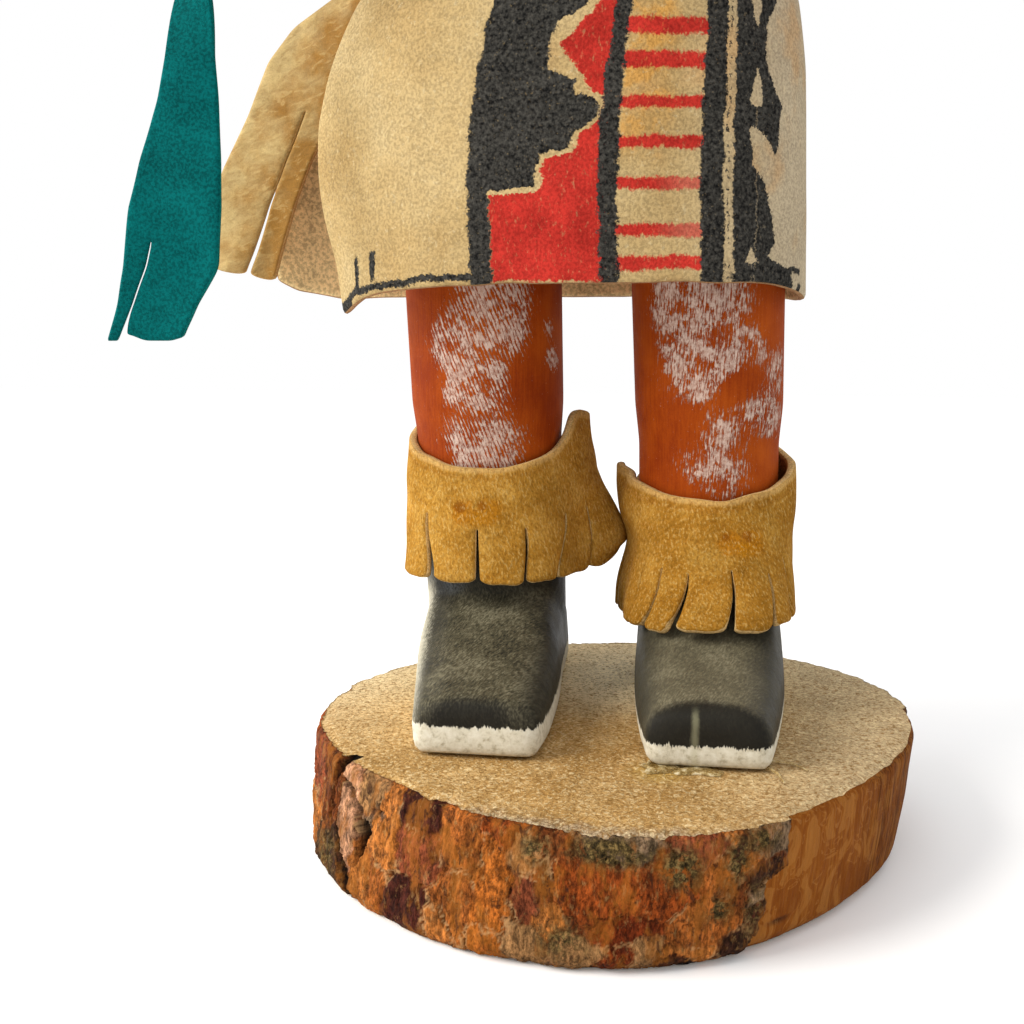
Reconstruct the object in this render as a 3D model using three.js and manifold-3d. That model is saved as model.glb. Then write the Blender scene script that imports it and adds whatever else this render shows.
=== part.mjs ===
// Kachina doll: carved and painted figure in real leather, standing on a slice of log.
// Millimetres, +Z up. Origin at the centre of the log slice's underside; the doll faces -Y.
// "Right" and "left" are the doll's own: its right hand is towards -X.
// The figure's heights count from the slice's top, its x and y from the middle of its legs.

import * as THREE from "three";
import { mergeVertices } from "three/addons/utils/BufferGeometryUtils.js";
import Module from "manifold-3d";

const wasm = await Module();
wasm.setup();

// Driving dimensions
const DEG = Math.PI / 180;
const GLUE_GAP = 0.3;               // between pieces that are glued or rest on each other
const BASE_H = 18;                  // log slice
const BASE_R = 43;
const FIGURE_X = -3.6;              // where the figure stands on the slice
const FIGURE_Y = 20.6;
const LEAN = 0.035;                 // the figure leans to its right: sideways per mm of height
const LEG_APART = 18;               // centre line to leg axis
const ANKLE_APART = 17.7;
const ANKLE_IN = 0.9;               // the legs are this much thinner under the cuffs
const RIGHT_LEG_R = 12.8;
const LEFT_LEG_R = 12.1;
const KNEE_Z = 44;
const SOLE_H = 4.5;
const BOOT_TOP_Z = 26;
const LEG_TOP_Z = 94;               // the legs run up into the hips
const HIP_Z = 78;
const WAIST_Z = 121;
const NECK_TOP_Z = 179;
const NECK_R = 10.3;
const RUFF_H = 7.1;
const SUEDE = 1.4;                  // kilt leather
const CUFF_SUEDE = 1.5;
const RIGHT_CUFF_RIM_Z = 41;
const RIGHT_FRINGE_Z = 19;
const LEFT_CUFF_RIM_Z = 36.6;
const LEFT_FRINGE_Z = 12.3;
const SASH_SUEDE = 1.2;
const WORN_GAP = 0.5;               // leather over wood
const HEM_Z = 64;
const KILT_TOP_Z = 125;
const SASH_LOW_Z = 66.5;
const SASH_TOP_Z = 124;
const STREAMER_LOW_Z = 56.5;
const BELT_H = 7.5;
const BELT_T = 1.5;
const HEAD_R = 18;
const HEAD_BASE_Z = NECK_TOP_Z + GLUE_GAP;
const HEAD_H = 37;
const ARM_OUT = 34.8;               // centre line to the shoulder of an arm
const SHOULDER_Z = 156;
const WRIST_R = 5.4;
const BODY_POWER = 2.15;            // squareness of the trunk's sections

// Body sections: height, half width, half depth
const BODY = [
  [HIP_Z, 23, 13],
  [HIP_Z + 2.5, 27.5, 17],
  [86, 30.4, 19],
  [96, 31, 19.6],
  [106, 29.4, 18.6],
  [114, 27, 17],
  [WAIST_Z, 25.4, 16],
  [132, 25.6, 16],
  [143, 27.4, 17],
  [153, 28.6, 17.4],
  [161, 27.6, 16.4],
  [166, 23.5, 14],
  [169, 14.5, 11.6],
  [171, NECK_R, NECK_R],
  [NECK_TOP_Z, NECK_R - 0.5, NECK_R - 0.5],
];

const BARK = 0x8a4a26;
const TERRACOTTA = 0xb5491f;
const CREAM = 0xd9c6a0;
const TAN = 0xb98a3e;
const SASH_CREAM = 0xcdb583;
const TEAL = 0x0c6b66;
const BROWN = 0x5a3a24;
const FEATHER_WHITE = 0xe6e0d0;
const RUFF_GREEN = 0x3f5236;

const lerp = (a, b, t) => a + (b - a) * t;
const clamp01 = (t) => Math.min(1, Math.max(0, t));
const smooth = (t) => clamp01(t) * clamp01(t) * (3 - 2 * clamp01(t));
const vec = (x, y, z) => new THREE.Vector3(x, y, z);

// Value of a table [[key, a, b, ...], ...] between its rows
function between(table, key, column) {
  const last = table.length - 1;
  if (key <= table[0][0]) return table[0][column];
  if (key >= table[last][0]) return table[last][column];
  const i = table.findIndex((row) => row[0] >= key);
  const t = (key - table[i - 1][0]) / (table[i][0] - table[i - 1][0]);
  return lerp(table[i - 1][column], table[i][column], t);
}

// Indexed geometry from points and triangles
function geometryOf(points, faces) {
  const flat = points.flatMap((p) => [p.x, p.y, p.z]);
  const geometry = new THREE.BufferGeometry();
  geometry.setAttribute("position", new THREE.Float32BufferAttribute(flat, 3));
  geometry.setIndex(faces.flat());
  return geometry;
}

// Closed solid through rings of points, counter-clockwise seen from the last ring's end
function loft(rings) {
  const n = rings[0].length;
  const points = rings.flat();
  const faces = [];
  for (let k = 0; k + 1 < rings.length; k++) {
    for (let i = 0; i < n; i++) {
      const j = (i + 1) % n;
      const a = k * n + i;
      const b = k * n + j;
      faces.push([a, b, b + n], [a, b + n, a + n]);
    }
  }
  const middle = (ring) => ring.reduce((s, p) => s.add(p), vec(0, 0, 0)).divideScalar(n);
  const low = points.push(middle(rings[0])) - 1;
  const high = points.push(middle(rings[rings.length - 1])) - 1;
  const top = (rings.length - 1) * n;
  for (let i = 0; i < n; i++) {
    const j = (i + 1) % n;
    faces.push([low, j, i], [high, top + i, top + j]);
  }
  return geometryOf(points, faces);
}

// Horizontal oval ring; power above 2 squares it off
function oval(x, y, z, halfWidth, halfDepth, sides, power = 2) {
  const ring = [];
  for (let i = 0; i < sides; i++) {
    const a = (2 * Math.PI * i) / sides;
    const c = Math.cos(a);
    const s = Math.sin(a);
    const px = Math.sign(c) * Math.abs(c) ** (2 / power);
    const py = Math.sign(s) * Math.abs(s) ** (2 / power);
    ring.push(vec(x + halfWidth * px, y + halfDepth * py, z));
  }
  return ring;
}

// Round limb through stations [x, y, z, radius]
function limb(stations, sides) {
  const rings = [];
  const at = (k) => vec(stations[k][0], stations[k][1], stations[k][2]);
  const last = stations.length - 1;
  const whole = at(last).sub(at(0));
  const axes = [vec(1, 0, 0), vec(0, 1, 0), vec(0, 0, 1)];
  axes.sort((a, b) => Math.abs(a.dot(whole)) - Math.abs(b.dot(whole)));
  for (let k = 0; k <= last; k++) {
    const way = at(Math.min(last, k + 1)).sub(at(Math.max(0, k - 1))).normalize();
    const side = axes[0].clone().addScaledVector(way, -axes[0].dot(way)).normalize();
    const other = way.clone().cross(side);
    const ring = [];
    for (let i = 0; i < sides; i++) {
      const a = (2 * Math.PI * i) / sides;
      const p = at(k).addScaledVector(side, stations[k][3] * Math.cos(a));
      ring.push(p.addScaledVector(other, stations[k][3] * Math.sin(a)));
    }
    rings.push(ring);
  }
  return loft(rings);
}

// Sheet of leather: a grid of cells over surface(u, v), some cut away, given a thickness.
// uAt(i, j) and vAt(i, j) place the grid lines; keep(i, j) says which cells are there.
function cutSheet({ columns, rows, uAt, vAt, keep, surface, thickness }) {
  const step = 1e-3;
  const points = [];
  const index = new Map();
  const corner = (i, j, face) => {
    const key = `${i},${j},${face}`;
    if (index.has(key)) return index.get(key);
    const u = uAt(i, j);
    const v = vAt(i, j);
    const du = surface(u + step, v).sub(surface(u - step, v));
    const dv = surface(u, v + step).sub(surface(u, v - step));
    const normal = du.cross(dv).normalize();
    const p = surface(u, v).addScaledVector(normal, (face * thickness) / 2);
    index.set(key, points.push(p) - 1);
    return index.get(key);
  };
  const faces = [];
  const quad = (a, b, c, d) => faces.push([a, b, c], [a, c, d]);
  const there = (i, j) => i >= 0 && j >= 0 && i < columns && j < rows && keep(i, j);
  for (let i = 0; i < columns; i++) {
    for (let j = 0; j < rows; j++) {
      if (!there(i, j)) continue;
      const loop = [[i, j], [i + 1, j], [i + 1, j + 1], [i, j + 1]];
      const front = loop.map(([a, b]) => corner(a, b, 1));
      const back = loop.map(([a, b]) => corner(a, b, -1));
      quad(front[0], front[1], front[2], front[3]);
      quad(back[3], back[2], back[1], back[0]);
      const beside = [[i, j - 1], [i + 1, j], [i, j + 1], [i - 1, j]];
      beside.forEach(([a, b], k) => {
        const m = (k + 1) % 4;
        if (!there(a, b)) quad(back[k], back[m], front[m], front[k]);
      });
    }
  }
  return geometryOf(points, faces);
}

function toManifold(geometry) {
  const plain = new THREE.BufferGeometry();
  plain.setAttribute("position", geometry.getAttribute("position").clone());
  if (geometry.index) plain.setIndex(geometry.index.clone());
  const merged = mergeVertices(plain, 1e-5);
  const vertProperties = new Float32Array(merged.getAttribute("position").array);
  const triVerts = new Uint32Array(merged.index.array);
  return new wasm.Manifold(new wasm.Mesh({ numProp: 3, vertProperties, triVerts }));
}

function toGeometry(solid) {
  const mesh = solid.getMesh();
  const geometry = new THREE.BufferGeometry();
  geometry.setAttribute("position", new THREE.BufferAttribute(mesh.vertProperties, 3));
  geometry.setIndex(new THREE.BufferAttribute(mesh.triVerts, 1));
  return geometry;
}

const join = (first, ...more) => toGeometry(
  more.reduce((solid, geometry) => solid.add(toManifold(geometry)), toManifold(first)),
);

// The log's outline is round but for slow waves, given as [waves round, cosine, sine].
// The foot's waves are added to the top's towards the underside
const TOP_WAVES = [[1, 0.2, 1.2], [2, 1.7, 1.2], [3, -1, 1.3], [4, 0.4, 0.4]];
const FOOT_WAVES = [[1, -1.8, -0.5], [2, -1, 0.8], [3, 0.9, -1.2]];
const wave = (waves, a) => waves.reduce(
  (sum, [n, c, s]) => sum + c * Math.cos(n * a) + s * Math.sin(n * a),
  0,
);

function logSlice() {
  const sides = 60;
  const levels = [[0, -0.9], [1.6, 0], [9, 0.3], [16.4, 0.2], [BASE_H, -0.1]];
  const rings = levels.map(([z, swell]) => {
    const ring = [];
    for (let i = 0; i < sides; i++) {
      const a = (2 * Math.PI * i) / sides;
      const r = BASE_R + wave(TOP_WAVES, a) + (1 - z / BASE_H) * wave(FOOT_WAVES, a) + swell;
      ring.push(vec(r * Math.cos(a), r * Math.sin(a), z));
    }
    return ring;
  });
  return loft(rings);
}

// Boot: side = -1 right, +1 left. Half width, centre and top height change along the foot
function boot({ side, halfHeel, halfToe, toeIn }) {
  const heel = 14.5;
  const toe = -41.2;
  const profile = [
    [toe, halfToe - 1.3, 6.6],
    [toe + 1.2, halfToe, 8.2],
    [-32, lerp(halfToe, halfHeel, 0.4), 9.6],
    [-24, lerp(halfToe, halfHeel, 0.7), 11.2],
    [-17, lerp(halfToe, halfHeel, 0.9), 13.4],
    [-11, halfHeel - 0.2, 15.4],
    [-4, halfHeel, 17],
    [7, halfHeel - 0.2, 16],
    [11, halfHeel - 2.2, 11],
    [heel, halfHeel - 5, 7],
  ];
  const rings = profile.map(([y, half, high]) => {
    const x = side * (ANKLE_APART - toeIn * smooth(y / toe));
    const z0 = GLUE_GAP;
    const shape = [
      [-0.94, 0], [0.94, 0], [1, 0.12], [1, SOLE_H / high], [0.98, 0.62],
      [0.86, 0.86], [0.5, 0.98], [0, 1], [-0.5, 0.98], [-0.86, 0.86],
      [-0.98, 0.62], [-1, SOLE_H / high], [-1, 0.12],
    ];
    return shape.map(([a, b]) => vec(x + a * half, y, z0 + b * high));
  });
  return loft(rings.reverse());
}

function leg(side, legR) {
  const x = side * LEG_APART;
  const ankleX = side * ANKLE_APART;
  return loft([
    oval(ankleX, 0, 8, legR - ANKLE_IN - 0.3, legR - ANKLE_IN - 0.3, 28),
    oval(ankleX, 0, BOOT_TOP_Z, legR - ANKLE_IN, legR - ANKLE_IN, 28),
    oval(lerp(ankleX, x, 0.8), 0, KNEE_Z - 4, legR - ANKLE_IN, legR - ANKLE_IN, 28),
    oval(x, 0, KNEE_Z + 2, legR - 0.3, legR - 0.3, 28),
    oval(x, 0, HEM_Z + 4, legR, legR, 28),
    oval(x * 0.96, 0, LEG_TOP_Z, legR - 1, legR - 1, 28),
  ]);
}

// The trunk, or the same grown by a clearance
function trunk(grow = 0) {
  return loft(BODY.map(([z, w, d]) => oval(0, 0, z, w + grow, d + grow, 36, BODY_POWER)));
}

function carvedBody() {
  return join(
    trunk(),
    leg(-1, RIGHT_LEG_R),
    leg(1, LEFT_LEG_R),
    boot({ side: -1, halfHeel: 11.6, halfToe: 9, toeIn: 2.6 }),
    boot({ side: 1, halfHeel: 11.7, halfToe: 8.6, toeIn: 0.8 }),
  );
}

// Arm path from shoulder to fist, as [outward, y, z, radius]
const ARM = [
  [ARM_OUT - 0.6, 0, SHOULDER_Z + 7.6, 3],
  [ARM_OUT, 0, SHOULDER_Z + 5.6, 6],
  [ARM_OUT, 0, SHOULDER_Z, 7.9],
  [ARM_OUT + 2.4, 0.6, SHOULDER_Z - 9, 7.7],
  [ARM_OUT + 4.6, 1.4, SHOULDER_Z - 18, 7.1],
  [ARM_OUT + 6.1, 0.4, SHOULDER_Z - 24.5, 7],
  [ARM_OUT + 7.4, -4.4, SHOULDER_Z - 28.4, 6.8],
  [ARM_OUT + 9.2, -11, SHOULDER_Z - 29, 6.2],
  [ARM_OUT + 11.2, -18, SHOULDER_Z - 28.7, WRIST_R],
  [ARM_OUT + 13, -24, SHOULDER_Z - 28.4, WRIST_R],
  [ARM_OUT + 13.9, -27.2, SHOULDER_Z - 28, 6.4],
  [ARM_OUT + 14.9, -30.6, SHOULDER_Z - 27.6, 7],
  [ARM_OUT + 15.9, -34, SHOULDER_Z - 27.4, 5.8],
  [ARM_OUT + 16.4, -35.8, SHOULDER_Z - 27.2, 3],
];
const WRIST = vec(-(ARM_OUT + 12.1), -21, SHOULDER_Z - 28.55);

// The shoulder is hollowed to sit against the trunk
function arm(side) {
  const whole = toManifold(limb(ARM.map(([x, y, z, r]) => [side * x, y, z, r]), 18));
  return toGeometry(whole.subtract(toManifold(trunk(GLUE_GAP))));
}

// Helmet mask with ears and a short round snout, drilled for the crest feathers
const FEATHERS = [
  { x: -7, tilt: -17 },
  { x: 0, tilt: 0 },
  { x: 7, tilt: 17 },
];
const FEATHER_Y = 6;
const QUILL_R = 0.8;
const HOLE_R = QUILL_R + GLUE_GAP + 0.1;
const HOLE_DEPTH = 5;

function pin(feather, radius, from, to, sides) {
  const a = feather.tilt * DEG;
  const top = HEAD_BASE_Z + HEAD_H;
  const at = (d) => [feather.x + d * Math.sin(a), FEATHER_Y + d * 0.12, top + d * Math.cos(a)];
  return limb([[...at(from), radius], [...at(to), radius]], sides);
}

function maskHead() {
  const z = HEAD_BASE_Z;
  const shell = loft([
    oval(0, 0, z, HEAD_R - 2.2, HEAD_R - 2.2, 32),
    oval(0, 0, z + 1.6, HEAD_R - 0.6, HEAD_R - 0.6, 32),
    oval(0, 0, z + 8, HEAD_R, HEAD_R, 32),
    oval(0, 0, z + 22, HEAD_R - 0.3, HEAD_R - 0.3, 32),
    oval(0, 0, z + 29, HEAD_R - 2, HEAD_R - 2, 32),
    oval(0, 0, z + 34, HEAD_R - 6.4, HEAD_R - 6.4, 32),
    oval(0, 0, z + HEAD_H - 1, HEAD_R - 11.6, HEAD_R - 11.6, 32),
    oval(0, 0, z + HEAD_H, 3, 3, 32),
  ]);
  const snout = limb([
    [0, -HEAD_R + 5, z + 10, 4.6],
    [0, -HEAD_R - 5, z + 9.6, 5],
    [0, -HEAD_R - 8, z + 9.4, 5.8],
    [0, -HEAD_R - 9, z + 9.4, 5],
  ], 20);
  const ear = (side) => limb([
    [side * (HEAD_R - 4), 0, z + 18, 5],
    [side * (HEAD_R + 2.4), 0, z + 18, 5],
    [side * (HEAD_R + 3.2), 0, z + 18, 4],
  ], 18);
  const head = join(shell, snout, ear(-1), ear(1));
  const holes = FEATHERS.map((f) => toManifold(pin(f, HOLE_R, -HOLE_DEPTH, 6, 10)));
  return toGeometry(holes.reduce((solid, hole) => solid.subtract(hole), toManifold(head)));
}

// Crest feather: quill in its hole, and a leaf-shaped vane
function crestFeather(feather) {
  const quill = pin(feather, QUILL_R, -HOLE_DEPTH + GLUE_GAP, 5.5, 8);
  const a = feather.tilt * DEG;
  const top = HEAD_BASE_Z + HEAD_H;
  const vane = [[1.8, 0.8], [5, 2.4], [11, 3.7], [17, 3.6], [21, 2.4], [23, 0.7]];
  const rings = vane.map(([d, half]) => {
    const ring = [];
    for (let i = 0; i < 12; i++) {
      const t = (2 * Math.PI * i) / 12;
      const across = half * Math.cos(t);
      const deep = 0.75 * Math.sin(t) + d * 0.12;
      const x = feather.x + d * Math.sin(a) + across * Math.cos(a);
      ring.push(vec(x, FEATHER_Y + deep, top + d * Math.cos(a) - across * Math.sin(a)));
    }
    return ring;
  });
  return join(loft(rings), quill);
}

// Ring of rectangular section with soft corners, open in the middle
function softRing(inner, outer, z0, z1, sides) {
  const r = (outer - inner) * 0.3;
  const h = (z1 - z0) * 0.22;
  const outline = [
    [inner, z0 + h], [inner + r, z0], [outer - r, z0], [outer, z0 + h],
    [outer, z1 - h], [outer - r, z1], [inner + r, z1], [inner, z1 - h], [inner, z0 + h],
  ];
  const profile = outline.map(([x, y]) => new THREE.Vector2(x, y));
  return new THREE.LatheGeometry(profile, sides).rotateX(Math.PI / 2);
}

function neckRuff() {
  const top = NECK_TOP_Z - GLUE_GAP;
  return softRing(NECK_R + WORN_GAP + 0.6, HEAD_R + 2.5, top - RUFF_H, top, 32);
}

// Kilt: one wrapped sheet, open over the right hip. Plan of its middle surface at the hem
const HEM_PLAN = [
  [-39.4, -8.4], [-34.4, -14], [-25, -19.2], [-11, -21.9], [7, -21.9], [21, -18.6],
  [30, -10], [32.1, 1], [28.6, 13], [17, 20.2], [0, 22.2], [-17, 22], [-32, 20],
  [-45, 16], [-56.6, 10.4],
];
// How far the hem is above HEM_Z, along the sheet from its front edge to its back edge
const HEM_LINE = [
  [0, -3.4], [0.05, -2.2], [0.1, -0.6], [0.18, 0.4], [0.3, 0.9], [0.4, 0.6], [0.46, -1.2],
  [0.52, -1.7], [0.6, -0.8], [0.72, -1], [0.85, -1], [0.93, -1.4], [0.98, 0], [1, 2],
];
const KILT_WAIST_FROM = -164 * DEG;   // front edge at the waist
const KILT_WAIST_TO = 168 * DEG;      // back edge at the waist
const FREE_Z = 96;                    // below this the kilt no longer follows the trunk
const CLING_Z = 115;                  // above this it clings to the trunk
const WAIST_OUT = WORN_GAP + SUEDE / 2;

// Point at an angle round the trunk, some way outside it
function roundTrunk(angle, z, out) {
  const c = Math.cos(angle);
  const s = Math.sin(angle);
  const x = (between(BODY, z, 1) + out) * Math.sign(c) * Math.abs(c) ** (2 / BODY_POWER);
  const y = (between(BODY, z, 2) + out) * Math.sign(s) * Math.abs(s) ** (2 / BODY_POWER);
  return vec(x, y, z);
}

const hemCurve = new THREE.CatmullRomCurve3(
  HEM_PLAN.map(([x, y]) => vec(x, y, 0)),
  false,
  "centripetal",
);

function kiltPoint(u, z) {
  const worn = roundTrunk(lerp(KILT_WAIST_FROM, KILT_WAIST_TO, u), Math.max(z, FREE_Z), WAIST_OUT);
  const hem = hemCurve.getPoint(clamp01(u));
  const t = 1 - (1 - clamp01((CLING_Z - z) / (CLING_Z - HEM_Z - 10))) ** 2;
  return vec(lerp(worn.x, hem.x, t), lerp(worn.y, hem.y, t), z);
}

function kilt() {
  const columns = 46;
  const hanging = [0, 0.25, 0.5, 0.75, 1].map((t) => lerp(HEM_Z, FREE_Z, t));
  const heights = [...hanging, FREE_Z + 6, FREE_Z + 13, CLING_Z + 1, WAIST_Z, KILT_TOP_Z];
  return cutSheet({
    columns,
    rows: heights.length - 1,
    uAt: (i) => 0.002 + (0.996 * i) / columns,
    vAt: (i, j) => j,
    keep: () => true,
    surface: (u, v) => {
      const j = Math.min(heights.length - 2, Math.max(0, Math.floor(v)));
      const z = lerp(heights[j], heights[j + 1], v - j);
      const share = clamp01((FREE_Z - z) / (FREE_Z - HEM_Z));
      return kiltPoint(u, z + share * between(HEM_LINE, u, 1));
    },
    thickness: SUEDE,
  });
}

function belt() {
  const sides = 44;
  const inner = WORN_GAP + SUEDE + WORN_GAP;
  const outline = [[inner, 0], [inner + BELT_T, 0], [inner + BELT_T, 1], [inner, 1]];
  const points = [];
  const faces = [];
  for (let i = 0; i < sides; i++) {
    for (let k = 0; k < 4; k++) {
      const [out, up] = outline[k];
      points.push(roundTrunk((2 * Math.PI * i) / sides, WAIST_Z + (up - 0.5) * BELT_H, out));
      const next = (i + 1) % sides;
      const a = i * 4 + k;
      const b = i * 4 + ((k + 1) % 4);
      const c = next * 4 + ((k + 1) % 4);
      const d = next * 4 + k;
      faces.push([a, c, b], [a, d, c]);
    }
  }
  return geometryOf(points, faces);
}

// Sash: tucked under the belt at the right hip, twisting out to face forward,
// cut at the bottom into two tails
function hipSash() {
  const loose = CLING_Z + 0.5;
  const falling = [0, 0.04, 0.15, 0.28, 0.4, 0.52, 0.66, 0.8, 0.9, 1];
  const heights = [...falling.map((t) => lerp(SASH_LOW_Z, loose, t)), WAIST_Z, SASH_TOP_Z];
  const rows = heights.length - 1;
  const columns = 7;
  const slit = 3;
  const slitRow = 5;
  // plan of the inner and outer edge, by height
  const tucked = (z) => roundTrunk(Math.PI, z, WAIST_OUT).x;
  const inner = [
    [SASH_LOW_Z, -54.3, 3], [79, -49.3, 2.8], [85, -46.3, 2.4], [100, -37, 1], [112, -29.8, -1.4],
    [loose, tucked(loose), -2.4], [WAIST_Z, tucked(WAIST_Z), -2.6],
    [SASH_TOP_Z, tucked(SASH_TOP_Z), -2.6],
  ];
  const outer = [
    [SASH_LOW_Z, -65.6, 4], [78, -65.2, 4], [84, -62.5, 4], [93, -57.2, 3.9],
    [101, -53.2, 3.7], [106, -48.5, 3.4], [110, -41.5, 3], [113, -35, 2.5],
    [loose, tucked(loose), 2.4], [WAIST_Z, tucked(WAIST_Z), 2.6],
    [SASH_TOP_Z, tucked(SASH_TOP_Z), 2.6],
  ];
  return cutSheet({
    columns,
    rows,
    uAt: (i, j) => {
      const above = Math.min(1, j / slitRow);
      const open = 0.016 + 0.04 * (1 - above);
      const line = lerp(0.59, 0.66, above) + 0.09 * Math.sin(Math.PI * above);
      const edges = [0, 0.17, 0.34, line - open, line + open, 0.78, 0.9, 1];
      return edges[i];
    },
    vAt: (i, j) => heights[j],
    keep: (i, j) => !(i === slit && j < slitRow),
    surface: (u, z) => {
      const x = lerp(between(outer, z, 1), between(inner, z, 1), u);
      const y = lerp(between(outer, z, 2), between(inner, z, 2), u);
      const rounded = 2.4 * clamp01(1 - (z - SASH_LOW_Z) / 5) * Math.abs(2 * u - 1) ** 3;
      return vec(x, y, z + rounded);
    },
    thickness: SASH_SUEDE,
  });
}

// Streamer: wrapped round the right wrist, then hanging and twisting to face forward
function streamer() {
  const wrapTurn = 300 * DEG;
  const wrapR = WRIST_R + WORN_GAP + SASH_SUEDE / 2;
  const along = vec(-1.8, -6, 0.3).normalize();
  const side = vec(0, 0, 1).cross(along).normalize();
  const up = along.clone().cross(side);
  const wrapRows = 12;
  const hangRows = 14;
  const rows = wrapRows + hangRows;
  const slitRows = 5;
  const start = WRIST.clone().addScaledVector(side, -wrapR);
  // share of the hang: middle x and y, half width
  const hang = [
    [0, start.x, start.y, 2.5],
    [0.12, start.x - 0.4, start.y + 0.2, 2.6],
    [0.28, start.x - 0.2, -25, 2.8],
    [0.444, -53.5, -28.6, 3.5],
    [0.53, -54.2, -29, 4.3],
    [0.644, -55.9, -29.2, 5.9],
    [0.735, -57.1, -29.2, 6.7],
    [0.853, -58.35, -29, 6.85],
    [0.925, -60.85, -28.8, 5.95],
    [1, -63.3, -28.6, 5.6],
  ];
  const wrapped = (share, across) => {
    const a = Math.PI - wrapTurn * (1 - share);
    const p = WRIST.clone().addScaledVector(side, wrapR * Math.cos(a));
    return p.addScaledVector(up, wrapR * Math.sin(a)).addScaledVector(along, across * 2.5);
  };
  const hanging = (share, across) => {
    const way = along.clone().lerp(vec(1, 0.1, 0), smooth((share - 0.1) / 0.35)).normalize();
    const z = lerp(start.z, STREAMER_LOW_Z, share);
    const middle = vec(between(hang, share, 1), between(hang, share, 2), z);
    return middle.addScaledVector(way, across * between(hang, share, 3));
  };
  return cutSheet({
    columns: 5,
    rows,
    uAt: (i, j) => {
      const thinEnd = 0.224 - 0.017 * Math.max(0, j - rows + slitRows);
      return [0, thinEnd, 0.256, 0.5, 0.76, 1][i];
    },
    vAt: (i, j) => j,
    keep: (i, j) => !(i === 1 && j >= rows - slitRows),
    surface: (u, v) => {
      if (v <= wrapRows) return wrapped(v / wrapRows, 2 * u - 1);
      return hanging((v - wrapRows) / hangRows, 2 * u - 1);
    },
    thickness: SASH_SUEDE,
  });
}

const SIDE_FLARE = 1;

// Ankle cuff: a strip wrapped once, its first end lapping over its last, fringed along the bottom
function ankleCuff({ side, legR, rimZ, fringeZ, startAngle, lift, spread }) {
  const strips = 9;
  const columns = strips * 3 - 1;
  const lapTurns = 376 * DEG;
  const radius = legR - ANKLE_IN + WORN_GAP + CUFF_SUEDE / 2;
  return cutSheet({
    columns,
    rows: 5,
    uAt: (i, j) => {
      const strip = Math.floor(i / 3);
      const part = i % 3;
      const gap = 0.03 + 0.025 * Math.max(0, 3 - j);
      const local = [gap, 0.5, 1 - gap][part];
      if (i === 0) return 0;
      if (i === columns) return 1;
      return (strip + local) / strips;
    },
    vAt: (i, j) => [0, 0.16, 0.34, 0.52, 0.78, 1][j],
    keep: (i, j) => !(i % 3 === 2 && j < 3),
    surface: (u, v) => {
      const a = startAngle + lapTurns * u * side;
      const lap = smooth((0.14 - u) / 0.14) * (CUFF_SUEDE + 0.5) * 1.15;
      const front = -Math.sin(a);
      const flare = clamp01(1 - v) ** 1.5;
      const open = radius + lap + 0.7 * smooth((v - 0.5) / 0.5);
      const wide = open + flare * SIDE_FLARE;
      const deep = open + flare * (front > 0 ? spread : SIDE_FLARE);
      const power = 2 + flare * 0.8;
      const r = ((Math.abs(Math.cos(a)) / wide) ** power + (Math.abs(front) / deep) ** power)
        ** (-1 / power);
      const rim = rimZ - 4.4 * front + lift * smooth((0.18 - u) / 0.18);
      const low = fringeZ + 0.8 * Math.max(0, front);
      return vec(side * ANKLE_APART + r * Math.cos(a), r * Math.sin(a), lerp(low, rim, v));
    },
    thickness: CUFF_SUEDE,
  });
}

// Armband: plain leather ring round the upper arm
function armband(side) {
  const inner = 7.6 + WORN_GAP;
  const ring = softRing(inner, inner + 1.4, -3, 3, 18);
  ring.rotateY(-side * 0.26).rotateX(0.09);
  return ring.translate(side * (ARM_OUT + 3.5), 1, SHOULDER_Z - 13.5);
}

// Figure coordinates to the slice: shifted and leaning
const STAND = new THREE.Matrix4().set(
  1, 0, -LEAN, FIGURE_X,
  0, 1, 0, FIGURE_Y,
  0, 0, 1, BASE_H,
  0, 0, 0, 1,
);

function add(group, name, geometry, color, roughness, onSlice = true) {
  const plain = new THREE.BufferGeometry();
  plain.setAttribute("position", geometry.getAttribute("position").clone());
  if (geometry.index) plain.setIndex(geometry.index.clone());
  const solid = mergeVertices(plain, 1e-4);
  if (onSlice) solid.applyMatrix4(STAND);
  solid.computeVertexNormals();
  const mesh = new THREE.Mesh(solid, new THREE.MeshStandardMaterial({ color, roughness }));
  mesh.name = name;
  group.add(mesh);
}

const doll = new THREE.Group();
doll.name = "kachina_doll";

add(doll, "base", logSlice(), BARK, 0.95, false);
add(doll, "carved_body", carvedBody(), TERRACOTTA, 0.5);
add(doll, "right_arm", arm(-1), TERRACOTTA, 0.5);
add(doll, "left_arm", arm(1), TERRACOTTA, 0.5);
add(doll, "mask_head", maskHead(), TEAL, 0.55);
add(doll, "neck_ruff", neckRuff(), RUFF_GREEN, 0.95);
FEATHERS.forEach((f, k) => add(doll, `crest_feather_${k + 1}`, crestFeather(f), FEATHER_WHITE, 0.8));
add(doll, "kilt", kilt(), CREAM, 0.95);
add(doll, "belt", belt(), BROWN, 0.7);
add(doll, "hip_sash", hipSash(), SASH_CREAM, 0.85);
add(doll, "streamer", streamer(), TEAL, 0.95);
add(doll, "right_ankle_cuff", ankleCuff({
  side: -1,
  legR: RIGHT_LEG_R,
  rimZ: RIGHT_CUFF_RIM_Z,
  fringeZ: RIGHT_FRINGE_Z,
  startAngle: 20 * DEG,
  lift: 2,
  spread: 3,
}), TAN, 0.95);
add(doll, "left_ankle_cuff", ankleCuff({
  side: 1,
  legR: LEFT_LEG_R,
  rimZ: LEFT_CUFF_RIM_Z,
  fringeZ: LEFT_FRINGE_Z,
  startAngle: 160 * DEG,
  lift: -3,
  spread: 10,
}), TAN, 0.95);
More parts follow.
